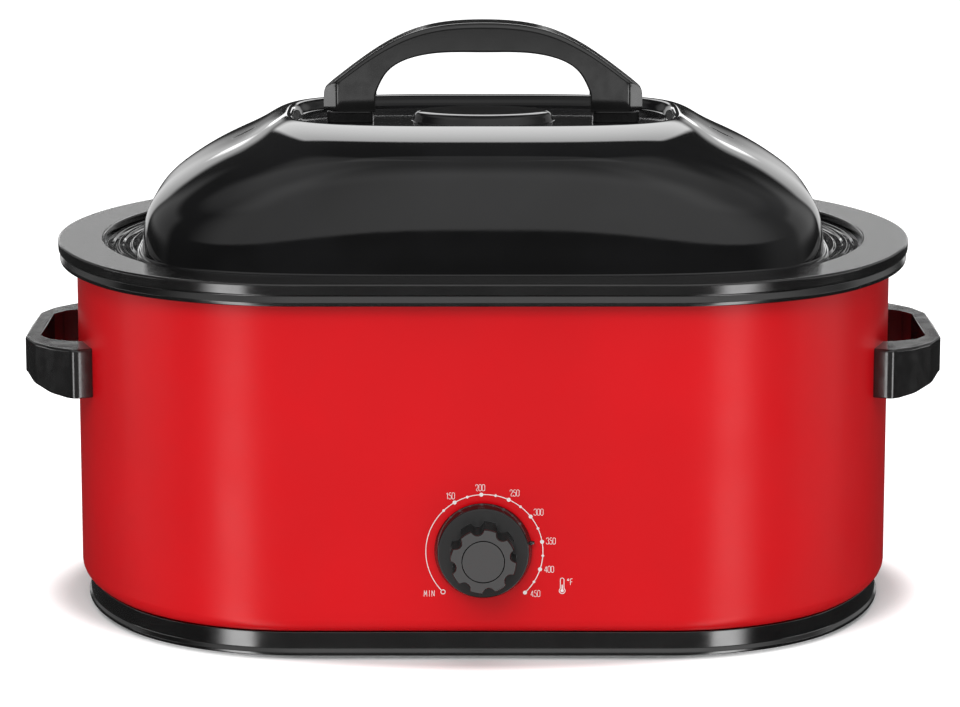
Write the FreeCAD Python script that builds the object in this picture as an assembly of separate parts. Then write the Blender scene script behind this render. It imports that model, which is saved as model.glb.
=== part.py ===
import FreeCAD, Part
import math
import os

# Electric roaster oven, in millimetres. +Z is up, the control knob faces -Y, the side handles point along X.
# Every plan outline of the housing is the same oval, moved in or out: straight sides, a corner arc, and an end arc
# of a larger radius. Sizes called ..._R are an outline's half depth, from the middle to its straight side. A corner
# arc's radius is CORNER_Y less than that, and an end arc's is END_SWELL more.
# A "radius" below is the distance of a wall from the line between those two centres.
# The model is drawn round the housing's centre. The origin is on the table under the middle of the whole
# outline, knob included, so each node is moved back by HOUSING_Y when it is saved.

CORNER_Y = 52.3
END_X = 30.3
END_SWELL = 43.7
END_TURN = math.asin(CORNER_Y / (CORNER_Y + END_SWELL))
CORNER_X = END_X + (CORNER_Y + END_SWELL) * math.cos(END_TURN)
TUB_CORE = 80.0
HOUSING_Y = 9.65

# housing
SHELL_R = 182.3
SHELL_WALL = 1.2
SHELL_BOTTOM = 17.0
SHELL_TOP = 222.1
SHELL_TURN = 5.3
RIM_R = 194.0
RIM_STEP = 3.0
RIM_SKIRT_Z = 216.0
RIM_STEP_Z = 223.0
RIM_EDGE_Z = 230.4
RIM_CROWN_R = 182.0
RIM_CROWN_Z = 234.0
RIM_INNER_R = 165.0
RIM_INNER_Z = 232.2
RIM_PLAY = 0.3
PLINTH_R = 177.0
PLINTH_LIP = 1.6
PLINTH_LIP_HEIGHT = 2.8
PLINTH_WALL = 2.6
PLINTH_BOTTOM = 2.5
PLINTH_RIBS_X = (-60.0, 60.0)
PLATE_R = 174.0
PLATE_Z = 4.2
PLATE_WALL = 1.2
PLATE_SLOT = (40.0, 5.0)
FOOT_R = 11.0
FOOT_STEM_R = 4.0
FOOT_X = 168.0
FOOT_Y = 104.0
STUD_R = 2.5
STUD_X = 110.0
STUD_Y = 70.0
NUT_SIZE = 8.0
NUT_HEIGHT = 1.6

# heating well and what is fixed round it
WELL_R = 140.0
WELL_WALL = 1.2
WELL_BOTTOM = 46.0
WELL_CORNER = 12.0
BAND_Z = 78.0
BAND_HEIGHT = 42.0
BAND_WALL = 1.6
CLIP_X = 58.0
CLIP_WIDTH = 9.0
CLIP_WALL = 0.8
CLIP_LAP = 4.0
BLANKET_R = 150.0
BLANKET_WALL = 13.0
BLANKET_BOTTOM = 52.0
BLANKET_TOP = 205.0
BLANKET_PANELS = 8

# control
KNOB_Z = 69.0
KNOB_BACK = 2.6
KNOB_DEPTH = 28.4
KNOB_SKIRT_R = 28.4
KNOB_SKIRT_FRONT_R = 26.4
KNOB_SKIRT = 7.0
KNOB_GRIP_R = 18.9
KNOB_FLUTES = 8
KNOB_FLUTE_R = 4.1
KNOB_FLUTE_AXIS_R = 19.8
KNOB_TOOTH = (27.4, 30.4, 1.6, 0.6, 2.6)
KNOB_CAP_R = 12.4
KNOB_CAP = 1.6
KNOB_CAP_PLAY = 0.25
KNOB_SETTING = 80.0
SHAFT_R = 3.0
SHAFT_FLAT = 1.4
SHAFT_FLAT_LENGTH = 13.0
SHAFT_PLAY = 0.05
SHAFT_IN = 16.0
SHAFT_OUT = 24.0
BUSH_R = 4.6
BUSH_OUT = 2.0
BUSH_NUT = 14.0
THERMOSTAT = (40.0, 20.0, 32.0)
BULB_R = 3.0
BULB_LENGTH = 68.0
FUSE = (14.0, 4.4, 4.4)

# supply side
GLAND_X = 52.0
GLAND_Z = 42.0
GLAND_NECK_R = 8.0
GLAND_FLANGE = (20.0, 3.5)
GLAND_BORE_R = 3.6
BLOCK = (36.0, 18.0, 16.0)
BLOCK_Y = 148.0
BLOCK_PITCH = 11.0

# insert pan
PAN_WALL = 1.5
PAN_R = 131.0
PAN_BOTTOM = 58.5
PAN_CORNER = 12.0
PAN_FLANGE_R = 163.4
PAN_FLANGE_Z = 223.6
PAN_RIDGE = (152.0, 9.0, 5.0)
PAN_RIDGE_RISE = 1.3

# rack
WIRE_R = 2.0
WIRE_SIDES = 8
RACK_Z = 72.0
RACK_CORNERS = ((98.0, 112.0), (158.0, 80.0), (184.0, 40.0))
RACK_FOOT_Z = 60.3
RACK_PITCH = 32.0
RACK_WIRES = 4
RACK_WELD = 0.5
RACK_BAIL_TOP = 176.0
RACK_BAIL_HALF = 38.0

# lid: one row for each level, as height, half length, half width and squareness of the outline
LID_WALL = 1.5
LID_LEVELS = (
    (226.6, 213.0, 156.3, 3.25),
    (240.0, 211.2, 153.4, 3.16),
    (254.0, 207.6, 151.0, 3.06),
    (266.0, 197.8, 148.9, 2.98),
    (276.0, 184.4, 146.3, 2.92),
    (286.0, 168.0, 142.6, 2.86),
    (294.0, 150.6, 136.6, 2.78),
    (300.0, 139.8, 126.6, 2.72),
    (304.5, 133.0, 109.5, 2.68),
    (307.5, 128.5, 88.0, 2.65),
    (308.8, 125.5, 79.5, 2.65),
)
OVAL_POINTS = 36
LID_BEAD = 2.4
LID_BEAD_Z = 229.0
LID_PANEL_Z = 302.0
LID_RIDGE = 4.5
VENT_X = 149.0
VENT_LENGTH = 12.0
VENT_WIDTH = 2.6

# lid handle
GRIP_HALF = 100.0
GRIP_DEPTH = 28.0
GRIP_FOOT_Z = 309.2
GRIP_ARCH = ((100.0, 322.5), (84.0, 335.0), (42.0, 359.4), (0.0, 364.8))
GRIP_OPENING = ((67.3, 320.0), (59.5, 334.6), (40.0, 344.2), (0.0, 346.4))
GRIP_CORNER_X = 10.0
GRIP_CORNER_Y = 8.5
GRIP_BEVEL = 2.4
LEG_X = 83.4
LEG_SCREW_R = 2.5
SPACER_SIZE = (29.0, 24.0)
SPACER_CORNER = 4.0

# side handles
BAR_X = 288.5
BAR_WALL = 8.0
BAR_HALF = 46.0
BAR_TOP_Z = 171.5
BAR_BOTTOM_Z = 149.5
BAR_BEVEL = 1.2
ARM_BOTTOM_Z = 140.5
ARM_END_Y = 90.0
ARM_SCREW_Y = 77.0
ARM_SCREW_Z = 156.0
ARM_SCREW_R = 2.5

UP = FreeCAD.Vector(0, 0, 1)
BACK = FreeCAD.Vector(0, 1, 0)
RIGHT = FreeCAD.Vector(1, 0, 0)


def vec(x, y, z):
    return FreeCAD.Vector(x, y, z)


def save(name, *solids):
    """Writes one node: one solid, or several separate ones."""
    shape = solids[0] if len(solids) == 1 else Part.makeCompound(list(solids))
    for solid in solids:
        if not solid.isValid():
            raise ValueError(f"{name} is not a valid solid")
    shape.translate(vec(0, HOUSING_Y, 0))
    shape.exportStep(f"parts/{name}.step")


def polygon_face(points):
    return Part.Face(Part.makePolygon(points + [points[0]]))


def cut_corners(corners):
    """The outline through corners (u, v, cut): a flat replaces each corner, starting cut away from it."""
    points = []
    for i, (u, v, cut) in enumerate(corners):
        if cut == 0:
            points.append((u, v))
            continue
        for other in (corners[i - 1], corners[(i + 1) % len(corners)]):
            share = cut / math.hypot(other[0] - u, other[1] - v)
            points.append((u + (other[0] - u) * share, v + (other[1] - v) * share))
    return points


def rounded_wire(corners, place):
    """A closed wire through corners (u, v, radius), each rounded. place puts (u, v) in space."""
    starts, ends, mids = [], [], []
    for i, (u, v, radius) in enumerate(corners):
        before, after = corners[i - 1], corners[(i + 1) % len(corners)]
        to_before = FreeCAD.Vector(before[0] - u, before[1] - v, 0).normalize()
        to_after = FreeCAD.Vector(after[0] - u, after[1] - v, 0).normalize()
        half_angle = to_before.getAngle(to_after) / 2
        reach = radius / math.tan(half_angle)
        sag = radius / math.sin(half_angle) - radius
        middle = (to_before + to_after).normalize()
        starts.append(place(u + to_before.x * reach, v + to_before.y * reach))
        ends.append(place(u + to_after.x * reach, v + to_after.y * reach))
        mids.append(place(u + middle.x * sag, v + middle.y * sag) if radius else None)
    edges = []
    for i, mid in enumerate(mids):
        if mid is not None:
            edges.append(Part.Arc(starts[i], mid, ends[i]).toShape())
        edges.append(Part.LineSegment(ends[i], starts[(i + 1) % len(corners)]).toShape())
    return Part.Wire(edges)


def rounded_prism(corners, place, direction):
    """The rounded outline as a face, carried along a direction."""
    return Part.Face(rounded_wire(corners, place)).extrude(direction)


def oval_point(radius, turn, z):
    """A point on the right-hand half of an oval, where its outward direction makes this angle with the x axis."""
    if abs(turn) <= END_TURN:
        centre_x, centre_y, reach = END_X, 0.0, radius + END_SWELL
    else:
        centre_x, centre_y, reach = CORNER_X, math.copysign(CORNER_Y, turn), radius - CORNER_Y
    return vec(centre_x + reach * math.cos(turn), centre_y + reach * math.sin(turn), z)


def oval_ring(corners):
    """A closed section of corners (radius, height, cut) carried right round the oval: a straight side with the corner,
    the end and the corner that follow it, and a copy of the four turned half round."""
    corner_degrees, end_degrees = 90 - math.degrees(END_TURN), 2 * math.degrees(END_TURN)
    section = polygon_face([vec(CORNER_X, -r, z) for r, z in cut_corners(corners)])
    runs = [section.extrude(vec(-2 * CORNER_X, 0, 0))]
    for centre, degrees in (
        (vec(CORNER_X, -CORNER_Y, 0), corner_degrees),
        (vec(END_X, 0, 0), end_degrees),
        (vec(CORNER_X, CORNER_Y, 0), corner_degrees),
    ):
        runs.append(section.revolve(centre, UP, degrees))
        section = section.copy()
        section.rotate(centre, UP, degrees)
    for run in runs[:4]:
        other = run.copy()
        other.rotate(vec(0, 0, 0), UP, 180)
        runs.append(other)
    return runs[0].fuse(runs[1:]).removeSplitter().Solids[0]


def oval_wall(inner, wall, low, height):
    """A plain upright wall round the oval."""
    outer, high = inner + wall, low + height
    return oval_ring([(inner, low, 0), (outer, low, 0), (outer, high, 0), (inner, high, 0)])


def oval_prism(radius, low, high):
    """A filled oval between two heights."""
    right = math.pi / 2
    edges = []
    for side in (1, -1):
        for start, end in ((-right, -END_TURN), (-END_TURN, END_TURN), (END_TURN, right)):
            points = [oval_point(radius, turn, low) for turn in (start, (start + end) / 2, end)]
            edges.append(Part.Arc(*[vec(side * point.x, side * point.y, low) for point in points]).toShape())
        ends = [vec(x * CORNER_X, side * radius, low) for x in (side, -side)]
        edges.append(Part.LineSegment(*ends).toShape())
    return Part.Face(Part.Wire(edges)).extrude(UP * (high - low))


def oval_tub(corners):
    """A vessel. Its section's first and last corners lie on the floor's two faces, at TUB_CORE, and a filled oval
    carries the floor on from there."""
    ring = oval_ring(corners)
    return ring.fuse(oval_prism(TUB_CORE, corners[0][1], corners[-1][1])).removeSplitter().Solids[0]


def cylinder(radius, start, direction, length):
    return Part.makeCylinder(radius, length, start, direction)


def box(centre_x, centre_y, low_z, size_x, size_y, size_z):
    return Part.makeBox(size_x, size_y, size_z, vec(centre_x - size_x / 2, centre_y - size_y / 2, low_z))


def bar(radius, sides, start, end):
    """A straight bar whose section is a regular polygon."""
    run = end - start
    across = run.cross(UP if abs(run.z) < 0.5 * run.Length else RIGHT).normalize()
    other = run.cross(across).normalize()
    points = []
    for i in range(sides):
        angle = 2 * math.pi * (i + 0.5) / sides
        points.append(start + across * (radius * math.cos(angle)) + other * (radius * math.sin(angle)))
    return polygon_face(points).extrude(run)


def hexagon(across, start, end):
    """A hexagon bar of a given width across its flats."""
    return bar(across / math.sqrt(3), 6, start, end)


def screw(point, direction, shank_r, length, across, head_height):
    """A hexagon-headed screw: the head's bearing face is at point and the shank runs along direction."""
    head = hexagon(across, point - direction * head_height, point)
    return head.fuse(cylinder(shank_r, point, direction, length)).removeSplitter().Solids[0]


def oval_points(half_x, half_y, squareness, z):
    """Points on the outline |x / half_x| ** s + |y / half_y| ** s = 1, the first one repeated last."""
    points = []
    for i in range(OVAL_POINTS + 1):
        angle = 2 * math.pi * i / OVAL_POINTS
        c, s = math.cos(angle), math.sin(angle)
        x = half_x * math.copysign(abs(c) ** (2 / squareness), c)
        y = half_y * math.copysign(abs(s) ** (2 / squareness), s)
        points.append(vec(x, y, z))
    return points


def oval_spacing():
    """How far along the lid's foot each point lies. Every level shares it, so that a loft isn't twisted."""
    z, half_x, half_y, squareness = LID_LEVELS[0]
    points = oval_points(half_x, half_y, squareness, z)
    spacing = [0.0]
    for before, here in zip(points, points[1:]):
        spacing.append(spacing[-1] + before.distanceToPoint(here))
    return spacing


def squared_oval(half_x, half_y, squareness, z):
    """The squared oval as one smooth closed curve."""
    curve = Part.BSplineCurve()
    points = oval_points(half_x, half_y, squareness, z)[:-1]
    curve.interpolate(Points=points, PeriodicFlag=True, Parameters=oval_spacing())
    return Part.Wire([curve.toShape()])


def oval_loft(levels):
    """A solid through squared ovals given as (height, half length, half width, squareness)."""
    return Part.makeLoft([squared_oval(a, b, s, z) for z, a, b, s in levels], True, True)


# ---------------------------------------------------------------- housing


def outer_shell():
    """The painted wall, turned in at the bottom, with holes for the bush, the gland and the screws."""
    inner = SHELL_R - SHELL_WALL
    bend = SHELL_WALL * math.tan(math.pi / 8)
    shell = oval_ring([
        (SHELL_R - SHELL_TURN - SHELL_WALL - bend, SHELL_BOTTOM, 0),
        (SHELL_R - SHELL_TURN, SHELL_BOTTOM, 0),
        (SHELL_R, SHELL_BOTTOM + SHELL_TURN, 0),
        (SHELL_R, SHELL_TOP, 0),
        (inner, SHELL_TOP, 0),
        (inner, SHELL_BOTTOM + SHELL_TURN + bend, 0),
    ])
    bush_hole = cylinder(BUSH_R, vec(0, -SHELL_R - 5, KNOB_Z), BACK, 12)
    gland_hole = cylinder(GLAND_NECK_R, vec(GLAND_X, SHELL_R - 5, GLAND_Z), BACK, 12)
    return shell.cut([bush_hole, gland_hole] + handle_screw_bores())


def rim_ring():
    """The moulded ring: a crowned top, an inner lip on the well's flange and a stepped skirt."""
    skirt_inner = SHELL_R + RIM_PLAY
    seat = SHELL_TOP + WELL_WALL
    return oval_ring([
        (skirt_inner, RIM_SKIRT_Z, 0),
        (RIM_R - RIM_STEP, RIM_SKIRT_Z, 0),
        (RIM_R - RIM_STEP, RIM_STEP_Z, 0),
        (RIM_R, RIM_STEP_Z + 0.8, 0),
        (RIM_R, RIM_EDGE_Z, 0),
        (RIM_CROWN_R, RIM_CROWN_Z, 0),
        (RIM_INNER_R, RIM_INNER_Z, 0),
        (RIM_INNER_R, seat, 0),
        (skirt_inner, seat, 0),
    ])


def plinth():
    """The base moulding: a wall with a lip at its foot, and ribs that the bottom plate presses on."""
    inner = PLINTH_R - PLINTH_WALL
    lip_top = PLINTH_BOTTOM + PLINTH_LIP_HEIGHT
    ring = oval_ring([
        (inner, PLINTH_BOTTOM, 0),
        (PLINTH_R + PLINTH_LIP, PLINTH_BOTTOM, 0),
        (PLINTH_R + PLINTH_LIP, lip_top, 0),
        (PLINTH_R, lip_top + 1.0, 0),
        (PLINTH_R, SHELL_BOTTOM, 0),
        (inner, SHELL_BOTTOM, 0),
    ])
    rib_depth = 8.0
    rib_low = PLATE_Z + PLATE_WALL
    rib_height = SHELL_BOTTOM - rib_low
    middle = inner - rib_depth / 2 + 0.5
    ribs = [box(x, y, rib_low, 3, rib_depth, rib_height) for x in PLINTH_RIBS_X for y in (-middle, middle)]
    ribs += [box(side * (END_X + END_SWELL + middle), 0, rib_low, rib_depth, 3, rib_height) for side in (-1, 1)]
    return ring.fuse(ribs).removeSplitter().Solids[0]


def four_places(x, y):
    return [(a, b) for a in (-x, x) for b in (-y, y)]


def bottom_plate():
    """The closing plate, with rows of air slots and holes for the feet and the tie studs."""
    plate = oval_prism(PLATE_R, PLATE_Z, PLATE_Z + PLATE_WALL)
    holes = [cylinder(FOOT_STEM_R, vec(x, y, 0), UP, 20) for x, y in four_places(FOOT_X, FOOT_Y)]
    holes += [cylinder(STUD_R, vec(x, y, 0), UP, 20) for x, y in four_places(STUD_X, STUD_Y)]
    for row in (-1.5, -0.5, 0.5, 1.5):
        for column in (-1, 0, 1):
            holes.append(box(column * 60.0, row * 24.0, PLATE_Z - 1, *PLATE_SLOT, 4.0))
    return plate.cut(holes)


def tie_studs():
    """Studs from the well's floor down through the plate: they hold the housing's rings together."""
    low = PLATE_Z - NUT_HEIGHT
    length = WELL_BOTTOM - low
    return [cylinder(STUD_R, vec(x, y, low), UP, length) for x, y in four_places(STUD_X, STUD_Y)]


def tie_nuts():
    """Thin hexagon nuts on the studs, under the plate."""
    made = []
    for x, y in four_places(STUD_X, STUD_Y):
        low, high = vec(x, y, PLATE_Z - NUT_HEIGHT), vec(x, y, PLATE_Z)
        made.append(hexagon(NUT_SIZE, low, high).cut(cylinder(STUD_R, low, UP, NUT_HEIGHT)))
    return made


def feet():
    """Push-in rubber feet: a tapered pad under the plate and a stem through it."""
    made = []
    for x, y in four_places(FOOT_X, FOOT_Y):
        pad = Part.makeCone(FOOT_R - 1.2, FOOT_R, PLATE_Z, vec(x, y, 0))
        made.append(pad.fuse(cylinder(FOOT_STEM_R, vec(x, y, PLATE_Z), UP, 4.0)).removeSplitter().Solids[0])
    return made


# ---------------------------------------------------------------- heating


def heating_well():
    """The fixed liner: a deep tub that hangs by a wide flange between the shell's edge and the rim."""
    outer = WELL_R + WELL_WALL
    top = SHELL_TOP + WELL_WALL
    return oval_tub([
        (TUB_CORE, WELL_BOTTOM, 0),
        (outer, WELL_BOTTOM, WELL_CORNER),
        (outer, SHELL_TOP, 0),
        (SHELL_R, SHELL_TOP, 0),
        (SHELL_R, top, 0),
        (WELL_R, top, 0),
        (WELL_R, WELL_BOTTOM + WELL_WALL, WELL_CORNER),
        (TUB_CORE, WELL_BOTTOM + WELL_WALL, 0),
    ])


def heater_band():
    return oval_wall(WELL_R + WELL_WALL, BAND_WALL, BAND_Z, BAND_HEIGHT)


def heater_clips():
    """Four sprung clips that press the band to the well's straight walls."""
    wall = WELL_R + WELL_WALL
    bridge = wall + BAND_WALL
    low, high = BAND_Z, BAND_Z + BAND_HEIGHT
    outline = [
        (wall, low - CLIP_LAP), (wall + CLIP_WALL, low - CLIP_LAP), (bridge + CLIP_WALL, low - CLIP_WALL),
        (bridge + CLIP_WALL, high + CLIP_WALL), (wall + CLIP_WALL, high + CLIP_LAP), (wall, high + CLIP_LAP),
        (wall, high), (bridge, high), (bridge, low), (wall, low),
    ]
    made = []
    for x in (-CLIP_X, CLIP_X):
        for side in (-1, 1):
            face = polygon_face([vec(x - CLIP_WIDTH / 2, side * y, z) for y, z in outline])
            made.append(face.extrude(vec(CLIP_WIDTH, 0, 0)))
    return made


def blanket_outline(radius):
    """The oval with each of its ends folded into flat panels."""
    points = []
    for side in (1, -1):
        for i in range(BLANKET_PANELS + 1):
            point = oval_point(radius, math.pi * (i / BLANKET_PANELS - 0.5), 0)
            points.append(vec(side * point.x, side * point.y, 0))
    return polygon_face(points)


def insulation_blanket():
    """Glass fibre folded round the well, with a window for the thermostat and one for the terminal block."""
    height = vec(0, 0, BLANKET_TOP - BLANKET_BOTTOM)
    outer = blanket_outline(BLANKET_R + BLANKET_WALL).extrude(height)
    blanket = outer.cut(blanket_outline(BLANKET_R).extrude(height))
    blanket.translate(vec(0, 0, BLANKET_BOTTOM))
    middle = BLANKET_R + BLANKET_WALL / 2
    front = box(0, -middle, BLANKET_BOTTOM - 1, 108, 2 * BLANKET_WALL, 64)
    back = box(GLAND_X, middle, BLANKET_BOTTOM - 1, 60, 2 * BLANKET_WALL, 20)
    return blanket.cut([front, back]).Solids[0]


# ---------------------------------------------------------------- control


def thermostat_body():
    """The switch housing behind the shell, with a bush through the shell, a shaft bore and two tabs."""
    size_x, size_y, size_z = THERMOSTAT
    front = -SHELL_R + SHELL_WALL
    body = box(0, front + size_y / 2, KNOB_Z - size_z / 2, size_x, size_y, size_z)
    bush = cylinder(BUSH_R, vec(0, -SHELL_R - BUSH_OUT, KNOB_Z), BACK, SHELL_WALL + BUSH_OUT)
    bore = cylinder(SHAFT_R + SHAFT_PLAY, vec(0, -SHELL_R - 3, KNOB_Z), BACK, SHAFT_IN + 4)
    tabs = [box(x, front + size_y + 3, KNOB_Z - 11, 1.0, 6.0, 6.3) for x in (-12.0, 12.0)]
    return body.fuse([bush] + tabs).cut(bore).removeSplitter().Solids[0]


def thermostat_nut():
    """The flat hexagon nut that holds the bush, in the knob's hollow."""
    front, seat = vec(0, -SHELL_R - BUSH_OUT, KNOB_Z), vec(0, -SHELL_R, KNOB_Z)
    return hexagon(BUSH_NUT, front, seat).cut(cylinder(BUSH_R, front, BACK, BUSH_OUT))


def shaft_flat():
    """The block that is missing from the shaft's outer half, and that fills the knob's bore there."""
    middle = -SHELL_R - SHAFT_OUT + SHAFT_FLAT_LENGTH / 2
    return box(0, middle, KNOB_Z + SHAFT_R - SHAFT_FLAT, 2 * SHAFT_R, SHAFT_FLAT_LENGTH, SHAFT_R)


def control_shaft():
    """A round shaft with a flat on its outer half, where the knob sits."""
    shaft = cylinder(SHAFT_R, vec(0, -SHELL_R - SHAFT_OUT, KNOB_Z), BACK, SHAFT_IN + SHAFT_OUT)
    return knob_at_setting(shaft.cut(shaft_flat()))


def thermostat_bulb():
    """The sensing bulb, held against the well just under the heater band."""
    y = -(WELL_R + WELL_WALL + BULB_R)
    return cylinder(BULB_R, vec(-BULB_LENGTH / 2, y, BAND_Z - BULB_R - 2), RIGHT, BULB_LENGTH)


def knob_at_setting(solid):
    """Turns a solid made with its pointer up to the rest setting."""
    turned = solid.copy()
    turned.rotate(vec(0, 0, KNOB_Z), BACK, KNOB_SETTING)
    return turned


def knob():
    """A tapered skirt and a fluted grip: a turned blank with scallops cut along it, and a pointer tooth."""
    back = -SHELL_R - KNOB_BACK
    step = back - KNOB_SKIRT
    face = back - KNOB_DEPTH
    outline = [
        (0, back), (KNOB_SKIRT_R, back), (KNOB_SKIRT_FRONT_R, step),
        (KNOB_GRIP_R, step), (KNOB_GRIP_R, face), (0, face),
    ]
    blank = polygon_face([vec(r, y, KNOB_Z) for r, y in outline]).revolve(vec(0, 0, KNOB_Z), BACK, 360)
    cutters = [cylinder(KNOB_CAP_R + KNOB_CAP_PLAY, vec(0, face, KNOB_Z), BACK, KNOB_CAP)]
    for i in range(KNOB_FLUTES):
        angle = 2 * math.pi * i / KNOB_FLUTES
        start = vec(KNOB_FLUTE_AXIS_R * math.sin(angle), step, KNOB_Z + KNOB_FLUTE_AXIS_R * math.cos(angle))
        cutters.append(cylinder(KNOB_FLUTE_R, start, -BACK, KNOB_DEPTH))
    bore = cylinder(SHAFT_R, vec(0, back, KNOB_Z), -BACK, SHAFT_OUT - KNOB_BACK).cut(shaft_flat())
    body = blank.cut(cutters + [bore])
    root, tip, root_half, tip_half, thickness = KNOB_TOOTH
    tooth_outline = ((-root_half, root), (root_half, root), (tip_half, tip), (-tip_half, tip))
    tooth = polygon_face([vec(x, back, KNOB_Z + z) for x, z in tooth_outline]).extrude(-BACK * thickness)
    return knob_at_setting(body.fuse(tooth).removeSplitter().Solids[0])


def knob_cap():
    """The round insert in the knob's face, flush with it."""
    face = -SHELL_R - KNOB_BACK - KNOB_DEPTH
    return cylinder(KNOB_CAP_R, vec(0, face, KNOB_Z), BACK, KNOB_CAP)


def thermal_fuse():
    """A ceramic cut-out on the heater band, with a tab at each end."""
    size_x, size_y, size_z = FUSE
    y = -(WELL_R + WELL_WALL + BAND_WALL + size_y / 2)
    low = BAND_Z + (BAND_HEIGHT - size_z) / 2
    tabs = box(30, y, low + size_z / 3, 2 * size_x, 0.8, size_z / 3)
    return box(30, y, low, size_x, size_y, size_z).fuse(tabs).removeSplitter().Solids[0]


def terminal_block():
    """A three-way block on the bottom plate behind the gland, with a square way for each wire."""
    size_x, size_y, size_z = BLOCK
    low = PLATE_Z + PLATE_WALL
    way = 4.5
    block = box(GLAND_X, BLOCK_Y, low, size_x, size_y, size_z)
    columns = [GLAND_X + i * BLOCK_PITCH for i in (-1, 0, 1)]
    return block.cut([box(x, BLOCK_Y, low + size_z / 2, way, 2 * size_y, way) for x in columns])


def cord_gland():
    """A hexagon-headed bush through the back wall, bored for the supply cord."""
    across, height = GLAND_FLANGE
    seat = vec(GLAND_X, SHELL_R, GLAND_Z)
    head = hexagon(across, seat, seat + BACK * height)
    neck_length = SHELL_WALL + 6.0
    neck = cylinder(GLAND_NECK_R, seat, -BACK, neck_length)
    bore = cylinder(GLAND_BORE_R, seat - BACK * (neck_length + 1), BACK, neck_length + height + 2)
    return head.fuse(neck).cut(bore).removeSplitter().Solids[0]


# ---------------------------------------------------------------- side handles


def handle_screw_lines():
    """The middle of the shell's end arc and the outward direction, for each side-handle screw."""
    lean = math.asin(ARM_SCREW_Y / (SHELL_R + END_SWELL))
    lines = []
    for side, end in four_places(1, 1):
        outward = vec(side * math.cos(lean), end * math.sin(lean), 0)
        lines.append((vec(side * END_X, 0, ARM_SCREW_Z), outward))
    return lines


def handle_screw_bores():
    """Radial holes through the shell and some way into the handles' arms."""
    start, length = SHELL_R + END_SWELL - 5, 17
    return [cylinder(ARM_SCREW_R, foot + out * start, out, length) for foot, out in handle_screw_lines()]


def side_handle():
    """The right-hand loop: an outer bar and two widening arms, deeper towards the shell, bevelled on top."""
    inner_x = BAR_X - BAR_WALL
    outer = [
        (200, -ARM_END_Y, 0), (246, -ARM_END_Y, 6), (268, -79, 12), (282, -64, 14), (BAR_X, -45, 10),
        (BAR_X, 45, 10), (282, 64, 14), (268, 79, 12), (246, ARM_END_Y, 6), (200, ARM_END_Y, 0),
    ]
    inner = [
        (190, -60, 0), (252, -60, 6), (270, -56, 8), (inner_x, -38, 6),
        (inner_x, 38, 6), (270, 56, 8), (252, 60, 6), (190, 60, 0),
    ]
    height = BAR_TOP_Z - ARM_BOTTOM_Z
    loop = rounded_prism(outer, lambda x, y: vec(x, y, ARM_BOTTOM_Z), UP * height)
    opening = rounded_prism(inner, lambda x, y: vec(x, y, ARM_BOTTOM_Z - 1), UP * (height + 2))
    rise = BAR_BOTTOM_Z - ARM_BOTTOM_Z
    reach = BAR_HALF + 38
    below = [(-reach, -1), (-reach, 0), (-BAR_HALF, rise), (BAR_HALF, rise), (reach, 0), (reach, -1)]
    underside = polygon_face([vec(190, y, ARM_BOTTOM_Z + z) for y, z in below]).extrude(RIGHT * 120)
    body = loop.cut([opening, underside])
    top_rim = [edge for edge in body.Edges if edge.BoundBox.ZMin > BAR_TOP_Z - 0.01]
    body = body.makeChamfer(BAR_BEVEL, [edge for edge in top_rim if edge.BoundBox.XMin > 215])
    body = body.cut(oval_prism(SHELL_R, ARM_BOTTOM_Z - 5, BAR_TOP_Z + 5))
    return body.cut(handle_screw_bores()).Solids[0]


def side_handles():
    """Both loops by side name. The left one mirrors the right one."""
    right = side_handle()
    return {"right": right, "left": right.mirror(vec(0, 0, 0), RIGHT)}


def side_handle_screws():
    """Screws from inside the shell. A flat head on the curved wall bears a little inside it."""
    bearing = SHELL_R + END_SWELL - SHELL_WALL - 0.1
    size = (ARM_SCREW_R, SHELL_WALL + 12.0, 8.0, 2.8)
    return [screw(foot + out * bearing, out, *size) for foot, out in handle_screw_lines()]


# ---------------------------------------------------------------- insert pan and rack


def insert_pan():
    """A drawn pan: upright wall, drawn floor corner and a flange stiffened by a pressed ridge."""
    top = PAN_FLANGE_Z + PAN_WALL
    ridge_r, ridge_foot, ridge_top = PAN_RIDGE
    return oval_tub([
        (TUB_CORE, PAN_BOTTOM, 0),
        (PAN_R + PAN_WALL, PAN_BOTTOM, PAN_CORNER),
        (PAN_R + PAN_WALL, PAN_FLANGE_Z, 0),
        (PAN_FLANGE_R, PAN_FLANGE_Z, 0),
        (PAN_FLANGE_R, top, 0),
        (ridge_r + ridge_foot / 2, top, 0),
        (ridge_r + ridge_top / 2, top + PAN_RIDGE_RISE, 0),
        (ridge_r - ridge_top / 2, top + PAN_RIDGE_RISE, 0),
        (ridge_r - ridge_foot / 2, top, 0),
        (PAN_R, top, 0),
        (PAN_R, PAN_BOTTOM + PAN_WALL, PAN_CORNER),
        (TUB_CORE, PAN_BOTTOM + PAN_WALL, 0),
    ])


def rack_wire(start, end):
    return bar(WIRE_R, WIRE_SIDES, start, end)


def rack_half_width(x):
    """How far the rack's frame reaches in y at a given x, along its straight runs."""
    (x_1, y_1), (x_2, y_2) = RACK_CORNERS[0], RACK_CORNERS[1]
    return y_1 + (y_2 - y_1) * max(0.0, abs(x) - x_1) / (x_2 - x_1)


def rack_frame():
    """The wires of the frame: straight runs between the corners, all round."""
    quarter = list(RACK_CORNERS)
    half = [(x, -y) for x, y in quarter] + [(x, y) for x, y in reversed(quarter)]
    corners = half + [(-x, -y) for x, y in half]
    runs = []
    for i, (x, y) in enumerate(corners):
        start, end = vec(*corners[i - 1], RACK_Z), vec(x, y, RACK_Z)
        over = (end - start).normalize() * (0.4 * WIRE_R)
        runs.append(rack_wire(start - over, end + over))
    return runs


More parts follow.
